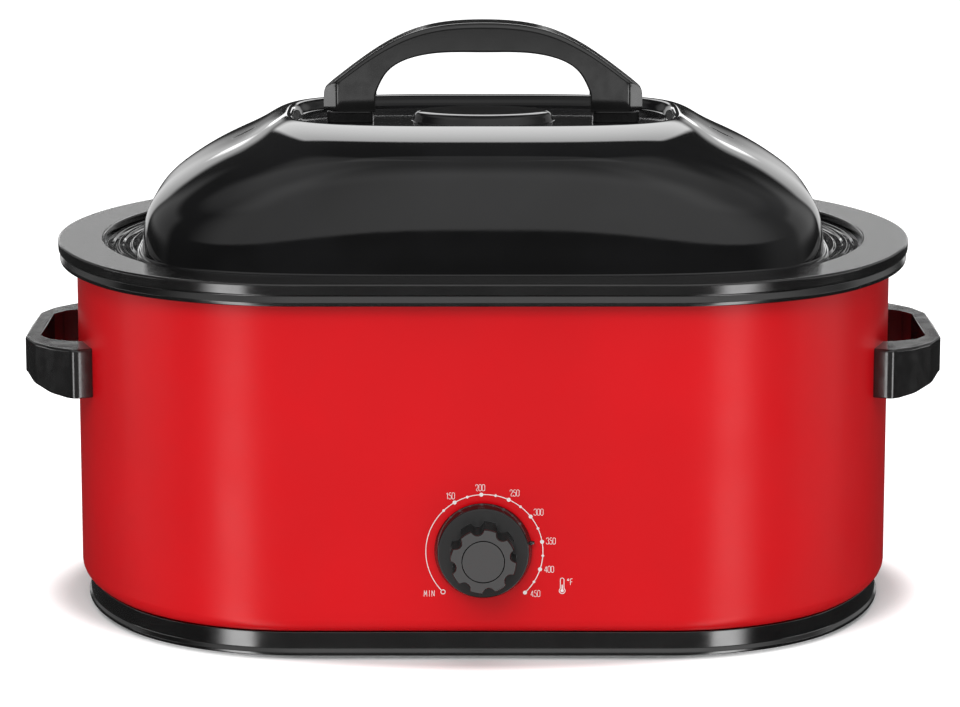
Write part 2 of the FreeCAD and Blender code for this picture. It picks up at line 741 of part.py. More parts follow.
def rack_bail(side):
    """A lifting bail at one end: two uprights off the frame and a grip across them."""
    x = side * RACK_CORNERS[2][0]
    over = WIRE_R
    half = RACK_BAIL_HALF
    uprights = [rack_wire(vec(x, y, RACK_Z), vec(x, y, RACK_BAIL_TOP)) for y in (-half, half)]
    return uprights + [rack_wire(vec(x, -half - over, RACK_BAIL_TOP), vec(x, half + over, RACK_BAIL_TOP))]


def roasting_rack():
    """The welded wire rack: frame, cross wires let a little into it, four feet and two lifting bails."""
    top = RACK_Z + 2 * WIRE_R - RACK_WELD
    pieces = rack_frame() + rack_bail(-1) + rack_bail(1)
    for i in range(-RACK_WIRES, RACK_WIRES + 1):
        x = i * RACK_PITCH
        reach = rack_half_width(x) + 1.0
        pieces.append(rack_wire(vec(x, -reach, top), vec(x, reach, top)))
        if abs(i) == RACK_WIRES - 1:
            foot_y = reach - 10.0
            pieces += [rack_wire(vec(x, y, RACK_FOOT_Z), vec(x, y, top)) for y in (-foot_y, foot_y)]
    return pieces[0].fuse(pieces[1:]).removeSplitter().Solids[0]


# ---------------------------------------------------------------- lid


def lid_shell():
    """The pressed lid: bulged wall, bead round its foot, raised ridge, recessed panel and two vents."""
    z_foot, a_foot, b_foot, s_foot = LID_LEVELS[0]
    z_ridge, a_ridge, b_ridge, s_ridge = LID_LEVELS[-1]
    bead_a, bead_b = a_foot + LID_BEAD, b_foot + LID_BEAD
    bead = oval_loft([(z_foot, bead_a, bead_b, s_foot), (LID_BEAD_Z, bead_a, bead_b, s_foot)])
    panel_a, panel_b = a_ridge - LID_RIDGE, b_ridge - LID_RIDGE
    above = z_ridge + 1.2
    recess = oval_loft([
        (LID_PANEL_Z, panel_a - 5.5, panel_b - 5.5, s_ridge),
        (above, panel_a + 1.0, panel_b + 1.0, s_ridge),
    ])
    under = oval_loft([
        (LID_PANEL_Z - LID_WALL, panel_a - 4.0, panel_b - 4.0, s_ridge),
        (above, panel_a + 2.6, panel_b + 2.6, s_ridge),
    ])
    shoulder_z = 290.0
    inside = []
    for z, a, b, s in LID_LEVELS:
        drop = LID_WALL if z > shoulder_z else 0
        inside.append((z - drop, a - LID_WALL, b - LID_WALL, s))
    inside[0] = (z_foot - 1.0, *inside[0][1:])
    body = oval_loft(LID_LEVELS).fuse(bead).cut(recess).cut(oval_loft(inside).cut(under))
    holes = [cylinder(LEG_SCREW_R, vec(x, 0, LID_PANEL_Z - 10), UP, 20) for x in (-LEG_X, LEG_X)]
    vents = [box(x, 0, 280, VENT_LENGTH, VENT_WIDTH, 30) for x in (-VENT_X, VENT_X)]
    return body.cut(holes + vents).Solids[0]


def arch_face(points, foot_z):
    """An arch in the xz plane: (x, z) from the right knee to the crown, mirrored, over straight legs."""
    half, knee = points[0]
    crown = Part.BSplineCurve()
    crown.interpolate([vec(-x, 0, z) for x, z in points] + [vec(x, 0, z) for x, z in reversed(points[:-1])])
    corners = [(half, knee), (half, foot_z), (-half, foot_z), (-half, knee)]
    legs = Part.makePolygon([vec(x, 0, z) for x, z in corners])
    return Part.Face(Part.Wire([crown.toShape()] + legs.Edges))


def lid_handle():
    """The arch: its front outline carried through, cut by a plan with bevelled corners, bevelled on top."""
    half_depth = GRIP_DEPTH / 2
    body = arch_face(GRIP_ARCH, GRIP_FOOT_Z).extrude(BACK * GRIP_DEPTH)
    opening = arch_face(GRIP_OPENING, GRIP_FOOT_Z - 5).extrude(BACK * GRIP_DEPTH)
    body.translate(BACK * -half_depth)
    opening.translate(BACK * -half_depth)
    x_0, x_1 = GRIP_HALF - GRIP_CORNER_X, GRIP_HALF
    y_0, y_1 = half_depth - GRIP_CORNER_Y, half_depth
    half_plan = [(x_0, -y_1), (x_1, -y_0), (x_1, y_0), (x_0, y_1)]
    plan = half_plan + [(-x, -y) for x, y in half_plan]
    body = body.common(polygon_face([vec(x, y, GRIP_FOOT_Z - 1) for x, y in plan]).extrude(UP * 80))
    rim = [
        edge for edge in body.Edges
        if edge.BoundBox.ZMin > GRIP_ARCH[0][1] - 8 and edge.BoundBox.YLength < 0.01
        and abs(abs(edge.CenterOfMass.y) - half_depth) < 0.01
    ]
    body = body.makeChamfer(GRIP_BEVEL, rim).cut(opening)
    pilots = [cylinder(LEG_SCREW_R, vec(x, 0, GRIP_FOOT_Z - 1), UP, 13) for x in (-LEG_X, LEG_X)]
    return body.cut(pilots).Solids[0]


def lid_handle_spacers():
    """Two collars that stand the handle off the lid's panel."""
    half_x, half_y = SPACER_SIZE[0] / 2, SPACER_SIZE[1] / 2
    made = []
    for x in (-LEG_X, LEG_X):
        signs = ((-1, -1), (1, -1), (1, 1), (-1, 1))
        corners = [(x + a * half_x, b * half_y, SPACER_CORNER) for a, b in signs]
        block = polygon_face([vec(u, v, LID_PANEL_Z) for u, v in cut_corners(corners)])
        block = block.extrude(UP * (GRIP_FOOT_Z - LID_PANEL_Z))
        made.append(block.cut(cylinder(LEG_SCREW_R, vec(x, 0, LID_PANEL_Z - 1), UP, 20)))
    return made


def lid_handle_screws():
    """Broad-headed screws from under the lid into the handle's feet."""
    bearing = LID_PANEL_Z - LID_WALL
    length = GRIP_FOOT_Z + 11 - bearing
    return [screw(vec(x, 0, bearing), UP, LEG_SCREW_R, length, 7.0, 3.0) for x in (-LEG_X, LEG_X)]


# ---------------------------------------------------------------- all nodes

handles = side_handles()
NODES = {
    "outer_shell": outer_shell(),
    "rim_ring": rim_ring(),
    "plinth": plinth(),
    "bottom_plate": bottom_plate(),
    "tie_studs": tie_studs(),
    "tie_nuts": tie_nuts(),
    "feet": feet(),
    "heating_well": heating_well(),
    "heater_band": heater_band(),
    "heater_clips": heater_clips(),
    "insulation_blanket": insulation_blanket(),
    "thermostat_body": thermostat_body(),
    "thermostat_nut": thermostat_nut(),
    "thermostat_bulb": thermostat_bulb(),
    "thermal_fuse": thermal_fuse(),
    "terminal_block": terminal_block(),
    "cord_gland": cord_gland(),
    "side_handle_right": handles["right"],
    "side_handle_left": handles["left"],
    "side_handle_screws": side_handle_screws(),
    "control_shaft": control_shaft(),
    "knob": knob(),
    "knob_cap": knob_cap(),
    "insert_pan": insert_pan(),
    "roasting_rack": roasting_rack(),
    "lid_shell": lid_shell(),
    "lid_handle": lid_handle(),
    "lid_handle_spacers": lid_handle_spacers(),
    "lid_handle_screws": lid_handle_screws(),
}

os.makedirs("parts", exist_ok=True)
for name, made in NODES.items():
    save(name, *(made if isinstance(made, list) else [made]))
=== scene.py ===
import math

import bpy
import numpy as np
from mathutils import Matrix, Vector


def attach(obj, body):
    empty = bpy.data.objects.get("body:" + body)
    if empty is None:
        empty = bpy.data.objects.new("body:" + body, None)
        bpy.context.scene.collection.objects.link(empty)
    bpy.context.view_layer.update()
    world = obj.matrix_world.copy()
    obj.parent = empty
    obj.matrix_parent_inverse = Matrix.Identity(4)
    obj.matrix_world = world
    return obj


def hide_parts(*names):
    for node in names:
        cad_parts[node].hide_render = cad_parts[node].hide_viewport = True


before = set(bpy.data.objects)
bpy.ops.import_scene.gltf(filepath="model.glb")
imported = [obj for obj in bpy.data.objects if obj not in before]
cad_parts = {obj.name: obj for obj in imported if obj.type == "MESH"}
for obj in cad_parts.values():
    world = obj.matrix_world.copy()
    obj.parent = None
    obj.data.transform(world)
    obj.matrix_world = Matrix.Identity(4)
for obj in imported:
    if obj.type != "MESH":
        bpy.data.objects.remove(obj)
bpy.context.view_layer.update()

# Electric roaster oven. Sizes are in millimetres about the housing's centre, which is CENTRE_Y behind the origin.
# +Z is up and the knob faces -Y. The housing's outlines are one oval, moved in or out: straight sides, corner arcs
# round (+-CORNER_X, +-CORNER_Y) and end arcs of a larger radius round (+-END_X, 0). A "radius" here is an outline's
# half depth: a corner arc's own radius is CORNER_Y less, an end arc's END_SWELL more.
CENTRE_Y = 9.65
CORNER_Y, END_X, END_SWELL = 52.3, 30.3, 43.7
END_TURN = math.asin(CORNER_Y / (CORNER_Y + END_SWELL))
CORNER_X = END_X + (CORNER_Y + END_SWELL) * math.cos(END_TURN)
SHELL_R = 182.3
KNOB_Z = 69.0
KNOB_SETTING = math.radians(80)


# ---------------------------------------------------------------- shapes


def rounded(corners, radii, steps=6, hold=0.5, most=0.46):
    """A closed outline with its corners rounded, for one outline or for a stack of them.
    Each corner's arc is (start (1-t)^2 + 2 w corner t (1-t) + end t^2) / ((1-t)^2 + 2 w t (1-t) + t^2), a true
    circle when w is the cosine of half the turn. One point before and one after it keep the flats flat."""
    corners = np.asarray(corners, float)
    radii = np.broadcast_to(np.asarray(radii, float), corners.shape[:-1])[..., None]
    back, ahead = np.roll(corners, 1, -2) - corners, np.roll(corners, -1, -2) - corners
    back_length = np.linalg.norm(back, axis=-1, keepdims=True)
    ahead_length = np.linalg.norm(ahead, axis=-1, keepdims=True)
    back, ahead = back / back_length, ahead / ahead_length
    half = np.arccos(np.clip((back * ahead).sum(-1, keepdims=True), -0.999999, 0.999999)) / 2
    reach = radii / np.tan(half)
    reach = np.minimum(reach, most * np.minimum(back_length, ahead_length))
    spare_back = back_length - reach - np.roll(reach, 1, -2)
    spare_ahead = ahead_length - reach - np.roll(reach, -1, -2)
    before = corners + back * (reach + np.minimum(hold, 0.3 * spare_back))
    after = corners + ahead * (reach + np.minimum(hold, 0.3 * spare_ahead))
    start, end, weight = corners + back * reach, corners + ahead * reach, np.sin(half)
    t = np.linspace(0, 1, steps + 1)[:, None]
    start, end, corner, weight = (a[..., None, :] for a in (start, end, corners, weight))
    share = (1 - t) ** 2 + 2 * weight * t * (1 - t) + t**2
    arc = (start * (1 - t) ** 2 + 2 * weight * t * (1 - t) * corner + end * t**2) / share
    line = np.concatenate([before[..., None, :], arc, after[..., None, :]], -2)
    return line.reshape(*corners.shape[:-2], -1, 2)


def rounded_line(points, radii, steps=6):
    """The same for an open line: its two ends stay as they are."""
    return np.vstack([points[0], rounded(points, radii, steps, most=0.9)[steps + 3:-steps - 3], points[-1]])


def smooth_through(points, count):
    """A natural cubic spline through the points, at count even distances along them. On each span the point is a
    blend of its two ends plus the cubic terms (s^3 - s) of the second derivatives, which are solved for."""
    points = np.asarray(points, float)
    along = np.concatenate([[0], np.cumsum(np.linalg.norm(np.diff(points, axis=0), axis=1))])
    span, size = np.diff(along), len(points)
    system, target = np.eye(size), np.zeros_like(points)
    inner = np.arange(1, size - 1)
    system[inner, inner - 1], system[inner, inner + 1] = span[:-1], span[1:]
    system[inner, inner] = 2 * (span[:-1] + span[1:])
    slope = np.diff(points, axis=0) / span[:, None]
    target[1:-1] = 6 * np.diff(slope, axis=0)
    bend = np.linalg.solve(system, target)
    where = np.linspace(0, along[-1], count)
    i = np.clip(np.searchsorted(along, where, "right") - 1, 0, size - 2)
    s = ((where - along[i]) / span[i])[:, None]
    cubic = (s**3 - s) * bend[i + 1] + ((1 - s) ** 3 - (1 - s)) * bend[i]
    return points[i] * (1 - s) + points[i + 1] * s + cubic * span[i, None] ** 2 / 6


def even_line(points, count):
    """Points at even distances along an open line."""
    points = np.asarray(points, float)
    along = np.concatenate([[0], np.cumsum(np.linalg.norm(np.diff(points, axis=0), axis=1))])
    where = np.linspace(0, along[-1], count)
    return np.stack([np.interp(where, along, column) for column in points.T], -1)


def soft_curve(levels, per_span=6):
    """The uniform cubic B-spline of a list of rows: each point is a blend of four neighbouring rows, by the weights
    (1-t)^3, 3t^3 - 6t^2 + 4, 1 + 3t + 3t^2 - 3t^3 and t^3, over 6. It starts and ends on the first and last row."""
    levels = np.asarray(levels, float)
    levels = np.vstack([2 * levels[0] - levels[1], levels, 2 * levels[-1] - levels[-2]])
    place = np.linspace(0, len(levels) - 3, (len(levels) - 3) * per_span + 1)
    i = np.minimum(place.astype(int), len(levels) - 4)
    t = (place - i)[:, None]
    weights = ((1 - t) ** 3, 3 * t**3 - 6 * t**2 + 4, 1 + 3 * t + 3 * t**2 - 3 * t**3, t**3)
    return sum(w * levels[i + k] for k, w in enumerate(weights)) / 6


def skin(rings, closed=False):
    """Points and faces over a grid of rings (ring, around, xyz). Neighbouring rings are joined by quads. The last
    ring joins the first, or each of the two is filled by a fan round its middle."""
    count, around = rings.shape[:2]
    index = np.arange(count * around).reshape(count, around)
    low, high = (index, np.roll(index, -1, 0)) if closed else (index[:-1], index[1:])
    faces = np.stack([low, np.roll(low, -1, 1), np.roll(high, -1, 1), high], -1).reshape(-1, 4)
    points = rings.reshape(-1, 3)
    if not closed:
        for ring in (index[0], index[-1][::-1]):
            hub, gap = np.full(around, len(points)), np.full(around, -1)
            faces = np.vstack([faces, np.stack([np.roll(ring, -1), ring, hub, gap], -1)])
            points = np.vstack([points, points[ring].mean(0)])
    return points, faces


def volume(points, faces):
    """Six times the volume inside closed faces: the sum of a . (b x c) over each face's triangles."""
    a, b, c = (points[faces[:, k]] for k in (0, 1, 2))
    total = (a * np.cross(b, c)).sum()
    four = faces[:, 3] >= 0
    a, b, c = (points[faces[four, k]] for k in (0, 2, 3))
    return total + (a * np.cross(b, c)).sum()


def piece(name, body, coat, parts, stands_for=(), smooth=True):
    """One object from closed parts, each turned to face outwards, with its place in its mesh, riding on a body."""
    points, faces, start = [], [], 0
    for places, sides in parts:
        if volume(places, sides) < 0:
            turned = sides[:, [2, 1, 0, 3]]
            sides = np.where(sides[:, 3:] < 0, turned, sides[:, ::-1])
        points.append(places)
        faces.append(np.where(sides < 0, -1, sides + start))
        start += len(places)
    points, faces = np.vstack(points) + (0, CENTRE_Y, 0), np.vstack(faces)
    kept = faces >= 0
    mesh = bpy.data.meshes.new(name)
    mesh.vertices.add(len(points))
    mesh.vertices.foreach_set("co", (points * 0.001).astype(np.float32).ravel())
    mesh.loops.add(int(kept.sum()))
    mesh.loops.foreach_set("vertex_index", faces[kept].astype(np.int32))
    mesh.polygons.add(len(faces))
    starts = np.concatenate([[0], np.cumsum(kept.sum(1))[:-1]])
    mesh.polygons.foreach_set("loop_start", starts.astype(np.int32))
    mesh.polygons.foreach_set("use_smooth", np.full(len(faces), smooth))
    mesh.update(calc_edges=True)
    mesh.validate()
    mesh.materials.append(coat)
    made = bpy.data.objects.new(name, mesh)
    bpy.context.scene.collection.objects.link(made)
    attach(made, body)
    if stands_for:
        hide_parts(*stands_for)
    return made


def round_oval(section, corner_steps=32, end_steps=34, side_steps=24):
    """Carries section points (radius, height) round the oval: x = centre x + (radius + swell) cos(angle) and
    y = centre y + (radius + swell) sin(angle). The centre and the swell stand still along each arc, and the centre
    slides along each straight side while the angle stands still."""
    section = np.asarray(section, float)
    right = np.pi / 2
    runs = (
        (np.linspace(-right, -END_TURN, corner_steps)[:-1], CORNER_X, -CORNER_Y, -CORNER_Y),
        (np.linspace(-END_TURN, END_TURN, end_steps), END_X, 0.0, END_SWELL),
        (np.linspace(END_TURN, right, corner_steps)[1:], CORNER_X, CORNER_Y, -CORNER_Y),
        (np.full(side_steps - 1, right), np.linspace(CORNER_X, -CORNER_X, side_steps + 1)[1:-1], CORNER_Y, -CORNER_Y),
    )
    angle = np.concatenate([run[0] for run in runs])
    centre_x, centre_y, swell = (np.concatenate([0 * run[0] + run[k] for run in runs]) for k in (1, 2, 3))
    reach, height = section[:, :1] + swell, section[:, 1:]
    x, y = centre_x + reach * np.cos(angle), centre_y + reach * np.sin(angle)
    return np.stack([np.hstack([x, -x]), np.hstack([y, -y]), height + np.zeros(2 * len(angle))], -1)


def oval_piece(corners):
    """A closed section of corners (radius, height, rounding), carried round the oval."""
    corners = np.asarray(corners, float)
    return skin(round_oval(rounded(corners[:, :2], corners[:, 2], most=0.92)), closed=True)


def block(low, high, rounding=0.6):
    """A box with rounded edges up and down: one rounded outline at two heights, a little smaller at the ends."""
    (x0, y0, z0), (x1, y1, z1) = low, high
    middle = np.array([(x0 + x1) / 2, (y0 + y1) / 2])
    outline = rounded([(x0, y0), (x1, y0), (x1, y1), (x0, y1)], rounding)
    size = np.array([x1 - x0, y1 - y0])
    rings = []
    levels = ((z0, 0.9), (z0, 0.4), (z0 + 0.4, 0), (z0 + 0.7, 0), (z1 - 0.7, 0), (z1 - 0.4, 0), (z1, 0.4), (z1, 0.9))
    for z, inset in levels:
        flat = middle + (outline - middle) * (1 - 2 * inset / size)
        rings.append(np.column_stack([flat, np.full(len(flat), z)]))
    return skin(np.array(rings))


def wire(path, across, radius=2.0, closed=False, sides=16):
    """A round wire along a flat path: each ring is radius (cos u side + sin u across), where across is square to the
    path's plane and side is across x ahead. Open ends are domed: a ring's size goes as sin t, its place as cos t."""
    path, across = np.asarray(path, float), np.asarray(across, float)
    size = np.full(len(path), float(radius))
    if not closed:
        t = np.linspace(0.2, np.pi / 2, 5)[:, None]
        first, last = (radius * v / np.linalg.norm(v) for v in (path[1] - path[0], path[-2] - path[-1]))
        ends = path[0] + first * (1 - np.cos(t)), (path[-1] + last * (1 - np.cos(t)))[::-1]
        path = np.vstack([ends[0], path[1:-1], ends[1]])
        dome = radius * np.sin(t[:, 0])
        size = np.concatenate([dome, size[1:-1], dome[::-1]])
    ahead = np.roll(path, -1, 0) - np.roll(path, 1, 0) if closed else np.gradient(path, axis=0)
    ahead = ahead / np.linalg.norm(ahead, axis=1, keepdims=True)
    side = np.cross(across, ahead)[:, None]
    u = np.linspace(0, 2 * np.pi, sides, endpoint=False)[:, None]
    return skin(path[:, None] + size[:, None, None] * (np.cos(u) * side + np.sin(u) * across), closed)


# ---------------------------------------------------------------- finishes


class Tree:
    """A short way to write nodes: each call adds one node, sets its inputs and links those that are sockets."""

    def __init__(self, owner):
        owner.use_nodes = True
        self.tree = owner.node_tree
        self.tree.nodes.clear()

    def add(self, kind, output=0, inputs=None, **settings):
        node = self.tree.nodes.new("ShaderNode" + kind)
        for name, value in settings.items():
            setattr(node, name, value)
        for name, value in (inputs or {}).items():
            if isinstance(value, bpy.types.NodeSocket):
                self.tree.links.new(value, node.inputs[name])
            else:
                node.inputs[name].default_value = value
        return node if output is None else node.outputs[output]

    def sums(self, operation, *values):
        return self.add("Math", inputs=dict(enumerate(values)), operation=operation)

    def ramp(self, value, low, high, to_low=0.0, to_high=1.0):
        inputs = {"Value": value, "From Min": low, "From Max": high, "To Min": to_low, "To Max": to_high}
        return self.add("MapRange", inputs=inputs, interpolation_type="SMOOTHSTEP")

    def noise(self, place, scale, detail=2.0, roughness=0.5):
        inputs = {"Vector": place, "Scale": scale, "Detail": detail, "Roughness": roughness}
        return self.add("TexNoise", inputs=inputs)

    def mixed(self, share, first, second):
        return self.add("Mix", 2, {0: share, 6: first, 7: second}, data_type="RGBA")


FLAT_EDGE = (0.00001, 0.00006)  # metres, where a flat's painted sheen grey starts to fade and where it is gone
KNOB_PAINTED_SHEEN = ((-0.20365, 0.085), (-0.18225, 0.04), (-0.17785, 0.04))  # painted sheen, a paler grey than the flutes get, on the grip's face, the skirt and the pointer


def finish(name, colour, second, cloud, roughness, grain, depth, stretch=(1, 1, 1), cells=False, flats=(), **shader):
    """A material on Object coordinates. The colour drifts between two by a cloud of noise, roughness drifts between
    its two values by a finer one, and the finest grain, or cells, raises a bump of the given depth in metres. Each
    flat, given as its place along Y and a grey, takes that grey and loses it within FLAT_EDGE of its place: a
    painted sheen, paler than the rest of the finish, that stands in for the flat's reflection."""
    material = bpy.data.materials.new(name)
    tree = Tree(material)
    place = tree.add("TexCoord", "Object")
    place = tree.add("Mapping", inputs={"Vector": place, "Scale": stretch})
    drift = tree.ramp(tree.noise(place, cloud, 3.0), 0.35, 0.65)
    if cells:
        height, shade = tree.add("TexVoronoi", None, {"Vector": place, "Scale": grain}, feature="F1").outputs[:2]
        drift = tree.add("SeparateColor", inputs={"Color": shade})
    else:
        height = tree.noise(place, grain, 3.0, 0.6)
    rough = tree.ramp(tree.noise(place, cloud * 4, 4.0), 0.3, 0.7, *roughness)
    bump = tree.add("Bump", inputs={"Height": height, "Distance": depth, "Strength": 1.0})
    base = tree.mixed(drift, (*colour, 1.0), (*second, 1.0))
    # Painted sheen: each flat is painted its paler grey close to its place along Y.
    for y, grey in flats:
        off = tree.sums("ABSOLUTE", tree.sums("SUBTRACT", tree.add("SeparateXYZ", 1, {0: place}), y))
        base = tree.mixed(tree.ramp(off, *FLAT_EDGE, 1.0, 0.0), base, (grey, grey, grey, 1.0))
    inputs = {"Base Color": base, "Roughness": rough, "Normal": bump}
    inputs.update({key.replace("_", " "): value for key, value in shader.items()})
    surface = tree.add("BsdfPrincipled", inputs=inputs)
    tree.add("OutputMaterial", None, inputs={"Surface": surface})
    return material


# ---------------------------------------------------------------- finishes of this oven


def plain(red, green, blue):
    """The linear colour of a screen colour given in 0 to 255."""
    share = np.array([red, green, blue]) / 255
    return tuple(float(v) for v in np.where(share < 0.04045, share / 12.92, ((share + 0.055) / 1.055) ** 2.4))


LOOK = {
    "red_paint": finish(
        "red_paint", plain(220, 7, 20), plain(214, 6, 18), 9, (0.3, 0.35), 420, 0.000006,
        Specular_IOR_Level=0.3),
    "black_enamel": finish(
        "black_enamel", (0.006, 0.006, 0.0062), (0.009, 0.009, 0.0095), 12, (0.035, 0.06), 260, 0.000006,
        Specular_IOR_Level=0.5),
    "rim_moulding": finish(
        "rim_moulding", (0.006, 0.006, 0.006), (0.008, 0.008, 0.008), 25, (0.15, 0.2), 900, 0.000006,
        Specular_IOR_Level=0.9),
    "base_moulding": finish(
        "base_moulding", (0.005, 0.005, 0.005), (0.008, 0.008, 0.008), 25, (0.13, 0.17), 900, 0.000006,
        Specular_IOR_Level=1.0),
    # The knob's face, skirt and pointer take painted sheen: a paler grey than its flutes.
    "knob_moulding": finish(
        "knob_moulding", (0.006, 0.006, 0.006), (0.008, 0.008, 0.008), 40, (0.08, 0.12), 500, 0.000003,
        flats=KNOB_PAINTED_SHEEN, Specular_IOR_Level=0.4),
    "handle_moulding": finish(
        "handle_moulding", (0.008, 0.008, 0.008), (0.011, 0.011, 0.011), 30, (0.12, 0.17), 700, 0.000006,
        Specular_IOR_Level=0.8),
    "galvanised_steel": finish(
        "galvanised_steel", (0.36, 0.37, 0.38), (0.6, 0.61, 0.62), 60, (0.28, 0.45), 130, 0.00002, cells=True,
        Metallic=1.0),
    "fastener_steel": finish(
        "fastener_steel", (0.42, 0.41, 0.39), (0.55, 0.54, 0.52), 300, (0.25, 0.4), 1500, 0.00002,
        stretch=(1, 1, 0.1), Metallic=1.0),
    "chrome_wire": finish(
        "chrome_wire", (0.6, 0.6, 0.61), (0.7, 0.7, 0.71), 80, (0.08, 0.16), 900, 0.000004, Metallic=1.0),
    "rubber": finish(
        "rubber", (0.02, 0.02, 0.02), (0.03, 0.03, 0.03), 60, (0.6, 0.8), 1500, 0.00004),
    "mica_band": finish(
        "mica_band", (0.3, 0.24, 0.16), (0.42, 0.36, 0.27), 40, (0.3, 0.5), 300, 0.00005, stretch=(1, 1, 3)),
    "terminal_moulding": finish(
        "terminal_moulding", (0.62, 0.58, 0.5), (0.7, 0.67, 0.6), 50, (0.4, 0.55), 900, 0.00002),
    "glass_fibre": finish(
        "glass_fibre", (0.55, 0.47, 0.25), (0.75, 0.7, 0.5), 120, (0.8, 0.95), 500, 0.0015, stretch=(1, 1, 5)),
    "copper_alloy": finish(
        "copper_alloy", (0.6, 0.3, 0.16), (0.7, 0.42, 0.25), 80, (0.2, 0.35), 900, 0.00001, Metallic=1.0),
}
ARCH_LOOK = finish(
    "arch_moulding", (0.008, 0.008, 0.008), (0.01, 0.01, 0.01), 30, (0.07, 0.1), 700, 0.000002,
    Specular_IOR_Level=0.8)
PRINT = finish("dial_ink", (0.8, 0.79, 0.78), (0.88, 0.87, 0.86), 300, (0.5, 0.6), 2500, 0.00001)

# The CAD nodes that stay, by the finish they take.
KEPT = {
    "galvanised_steel": ("bottom_plate", "heating_well", "heater_clips"),
    "fastener_steel": (
        "tie_studs", "tie_nuts", "thermostat_nut", "side_handle_screws", "control_shaft", "lid_handle_screws"),
    "rubber": ("feet",),
    "mica_band": ("heater_band",),
    "glass_fibre": ("insulation_blanket",),
    "terminal_moulding": ("thermostat_body", "terminal_block"),
    "copper_alloy": ("thermostat_bulb", "thermal_fuse"),
    "base_moulding": ("cord_gland",),
}
for slot_name, node_names in KEPT.items():
    for node_name in node_names:
        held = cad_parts[node_name].data.materials
        held.clear()
        held.append(LOOK[slot_name])


def fitting(name, body, slot, parts):
    """A piece in a slot's finish that stands for the CAD node it is named after."""
    return piece(name, body, LOOK[slot], parts, (name.removesuffix("_surface"),))


# ---------------------------------------------------------------- housing

fitting("outer_shell_surface", "housing", "red_paint", [oval_piece([
    (172.6, 17, 0.4), (SHELL_R, 17, 9), (SHELL_R, 222.1, 0.4), (181.1, 222.1, 0.4), (181.1, 18.2, 7.8),
    (172.6, 18.2, 0.4),
])])

fitting("rim_ring_surface", "housing", "rim_moulding", [oval_piece([
    (182.6, 217.2, 0.4), (192.4, 217.2, 0.9), (193, 219.5, 1), (191.6, 223.7, 0.6), (193.7, 224.3, 0.6),
    (194, 231, 1.2), (165, 230.8, 1.5), (165, 223.3, 0.5), (182.6, 223.3, 0.3),
])])

# Ribs inside the plinth's ring: two at the front, two at the back and one at each end.
RIBS = [((x - 1.5, y - 4, 5.4), (x + 1.5, y + 4, 17)) for x in (-60, 60) for y in (-170.9, 170.9)]
RIBS += [((x - 4, -1.5, 5.4), (x + 4, 1.5, 17)) for x in (-244.9, 244.9)]
fitting("plinth_surface", "housing", "base_moulding", [oval_piece([
    (174.4, 2.5, 0.4), (178.3, 2.5, 0.8), (178.3, 4.6, 1.2), (177, 6.6, 2), (177, 17, 0.5), (174.4, 17, 0.4),
])] + [block(low, high) for low, high in RIBS])


def side_handle(side):
    """A loop grip: a bar between an outer and an inner plan line, matched by their lengths, flat on top. Below, the
    bar is level in the middle and its arms deepen evenly towards the shell."""
    count, top = 150, 171.5
    outer = [(239.6, -83), (251, -87.5), (267, -77), (279, -62), (286.4, -42), (287.2, 0)]
    inner = [(248.5, -57), (256, -57), (270, -50), (277.3, -37), (277.3, 0)]
    outer, inner = (line + [(x, -y) for x, y in line[-2::-1]] for line in (outer, inner))
    outer = even_line(rounded_line(outer, (0, 5, 24, 24, 14, 300, 14, 24, 24, 5, 0), 10), count)
    inner = even_line(rounded_line(inner, (0, 10, 10, 4, 60, 4, 10, 10, 0), 8), count)
    width = np.linalg.norm(outer - inner, axis=1)
    low_outer, low_inner = (np.interp(np.abs(line[:, 1]), [46, 84], [149.5, 140.5]) for line in (outer, inner))
    flat = np.zeros(count)
    corners = np.stack([
        np.column_stack([flat, low_inner]), np.column_stack([width, low_outer]),
        np.column_stack([width, flat + top]), np.column_stack([flat, flat + top])], 1)
    outline = rounded(corners, (0.9, 0.9, 1.5, 1.2), 5)
    across = ((outer - inner) / width[:, None])[:, None]
    plan = inner[:, None] + outline[..., :1] * across
    return skin(np.stack([side * plan[..., 0], plan[..., 1], outline[..., 1]], -1))


fitting("side_handle_right_surface", "housing", "handle_moulding", [side_handle(1)])
fitting("side_handle_left_surface", "housing", "handle_moulding", [side_handle(-1)])


# ---------------------------------------------------------------- control knob

FACE_Y = -SHELL_R
GRIP_R = 19.5
GRIP_SIDE = (17.5, 21, 9)  # lowest and highest radius and lowest depth of what follows the flutes


def knob_places(radius, depth, angle):
    """From the knob's own polar places, with the angle clockwise from its pointer, to the oven's."""
    turned = angle + KNOB_SETTING
    x, z = radius * np.sin(turned), KNOB_Z + radius * np.cos(turned)
    return np.stack(np.broadcast_arrays(x, FACE_Y - depth, z), -1)


def fluted(angle, flutes=8, flute_r=4.1, axis_r=20.4, blend=0.6):
    """The grip's radius by angle: the nearer of the round grip and the flute's own circle, which a ray from the
    middle meets at c cos d - sqrt(r^2 - c^2 sin^2 d). The two are joined by a smooth minimum."""
    pitch = 2 * np.pi / flutes
    from_flute = (angle + pitch / 2) % pitch - pitch / 2
    inside = flute_r**2 - (axis_r * np.sin(from_flute)) ** 2
    scallop = np.where(inside > 0, axis_r * np.cos(from_flute) - np.sqrt(np.maximum(inside, 0)), GRIP_R + 2)
    near = np.maximum(blend - np.abs(scallop - GRIP_R), 0) / blend
    return np.minimum(scallop, GRIP_R) - near**2 * blend / 4


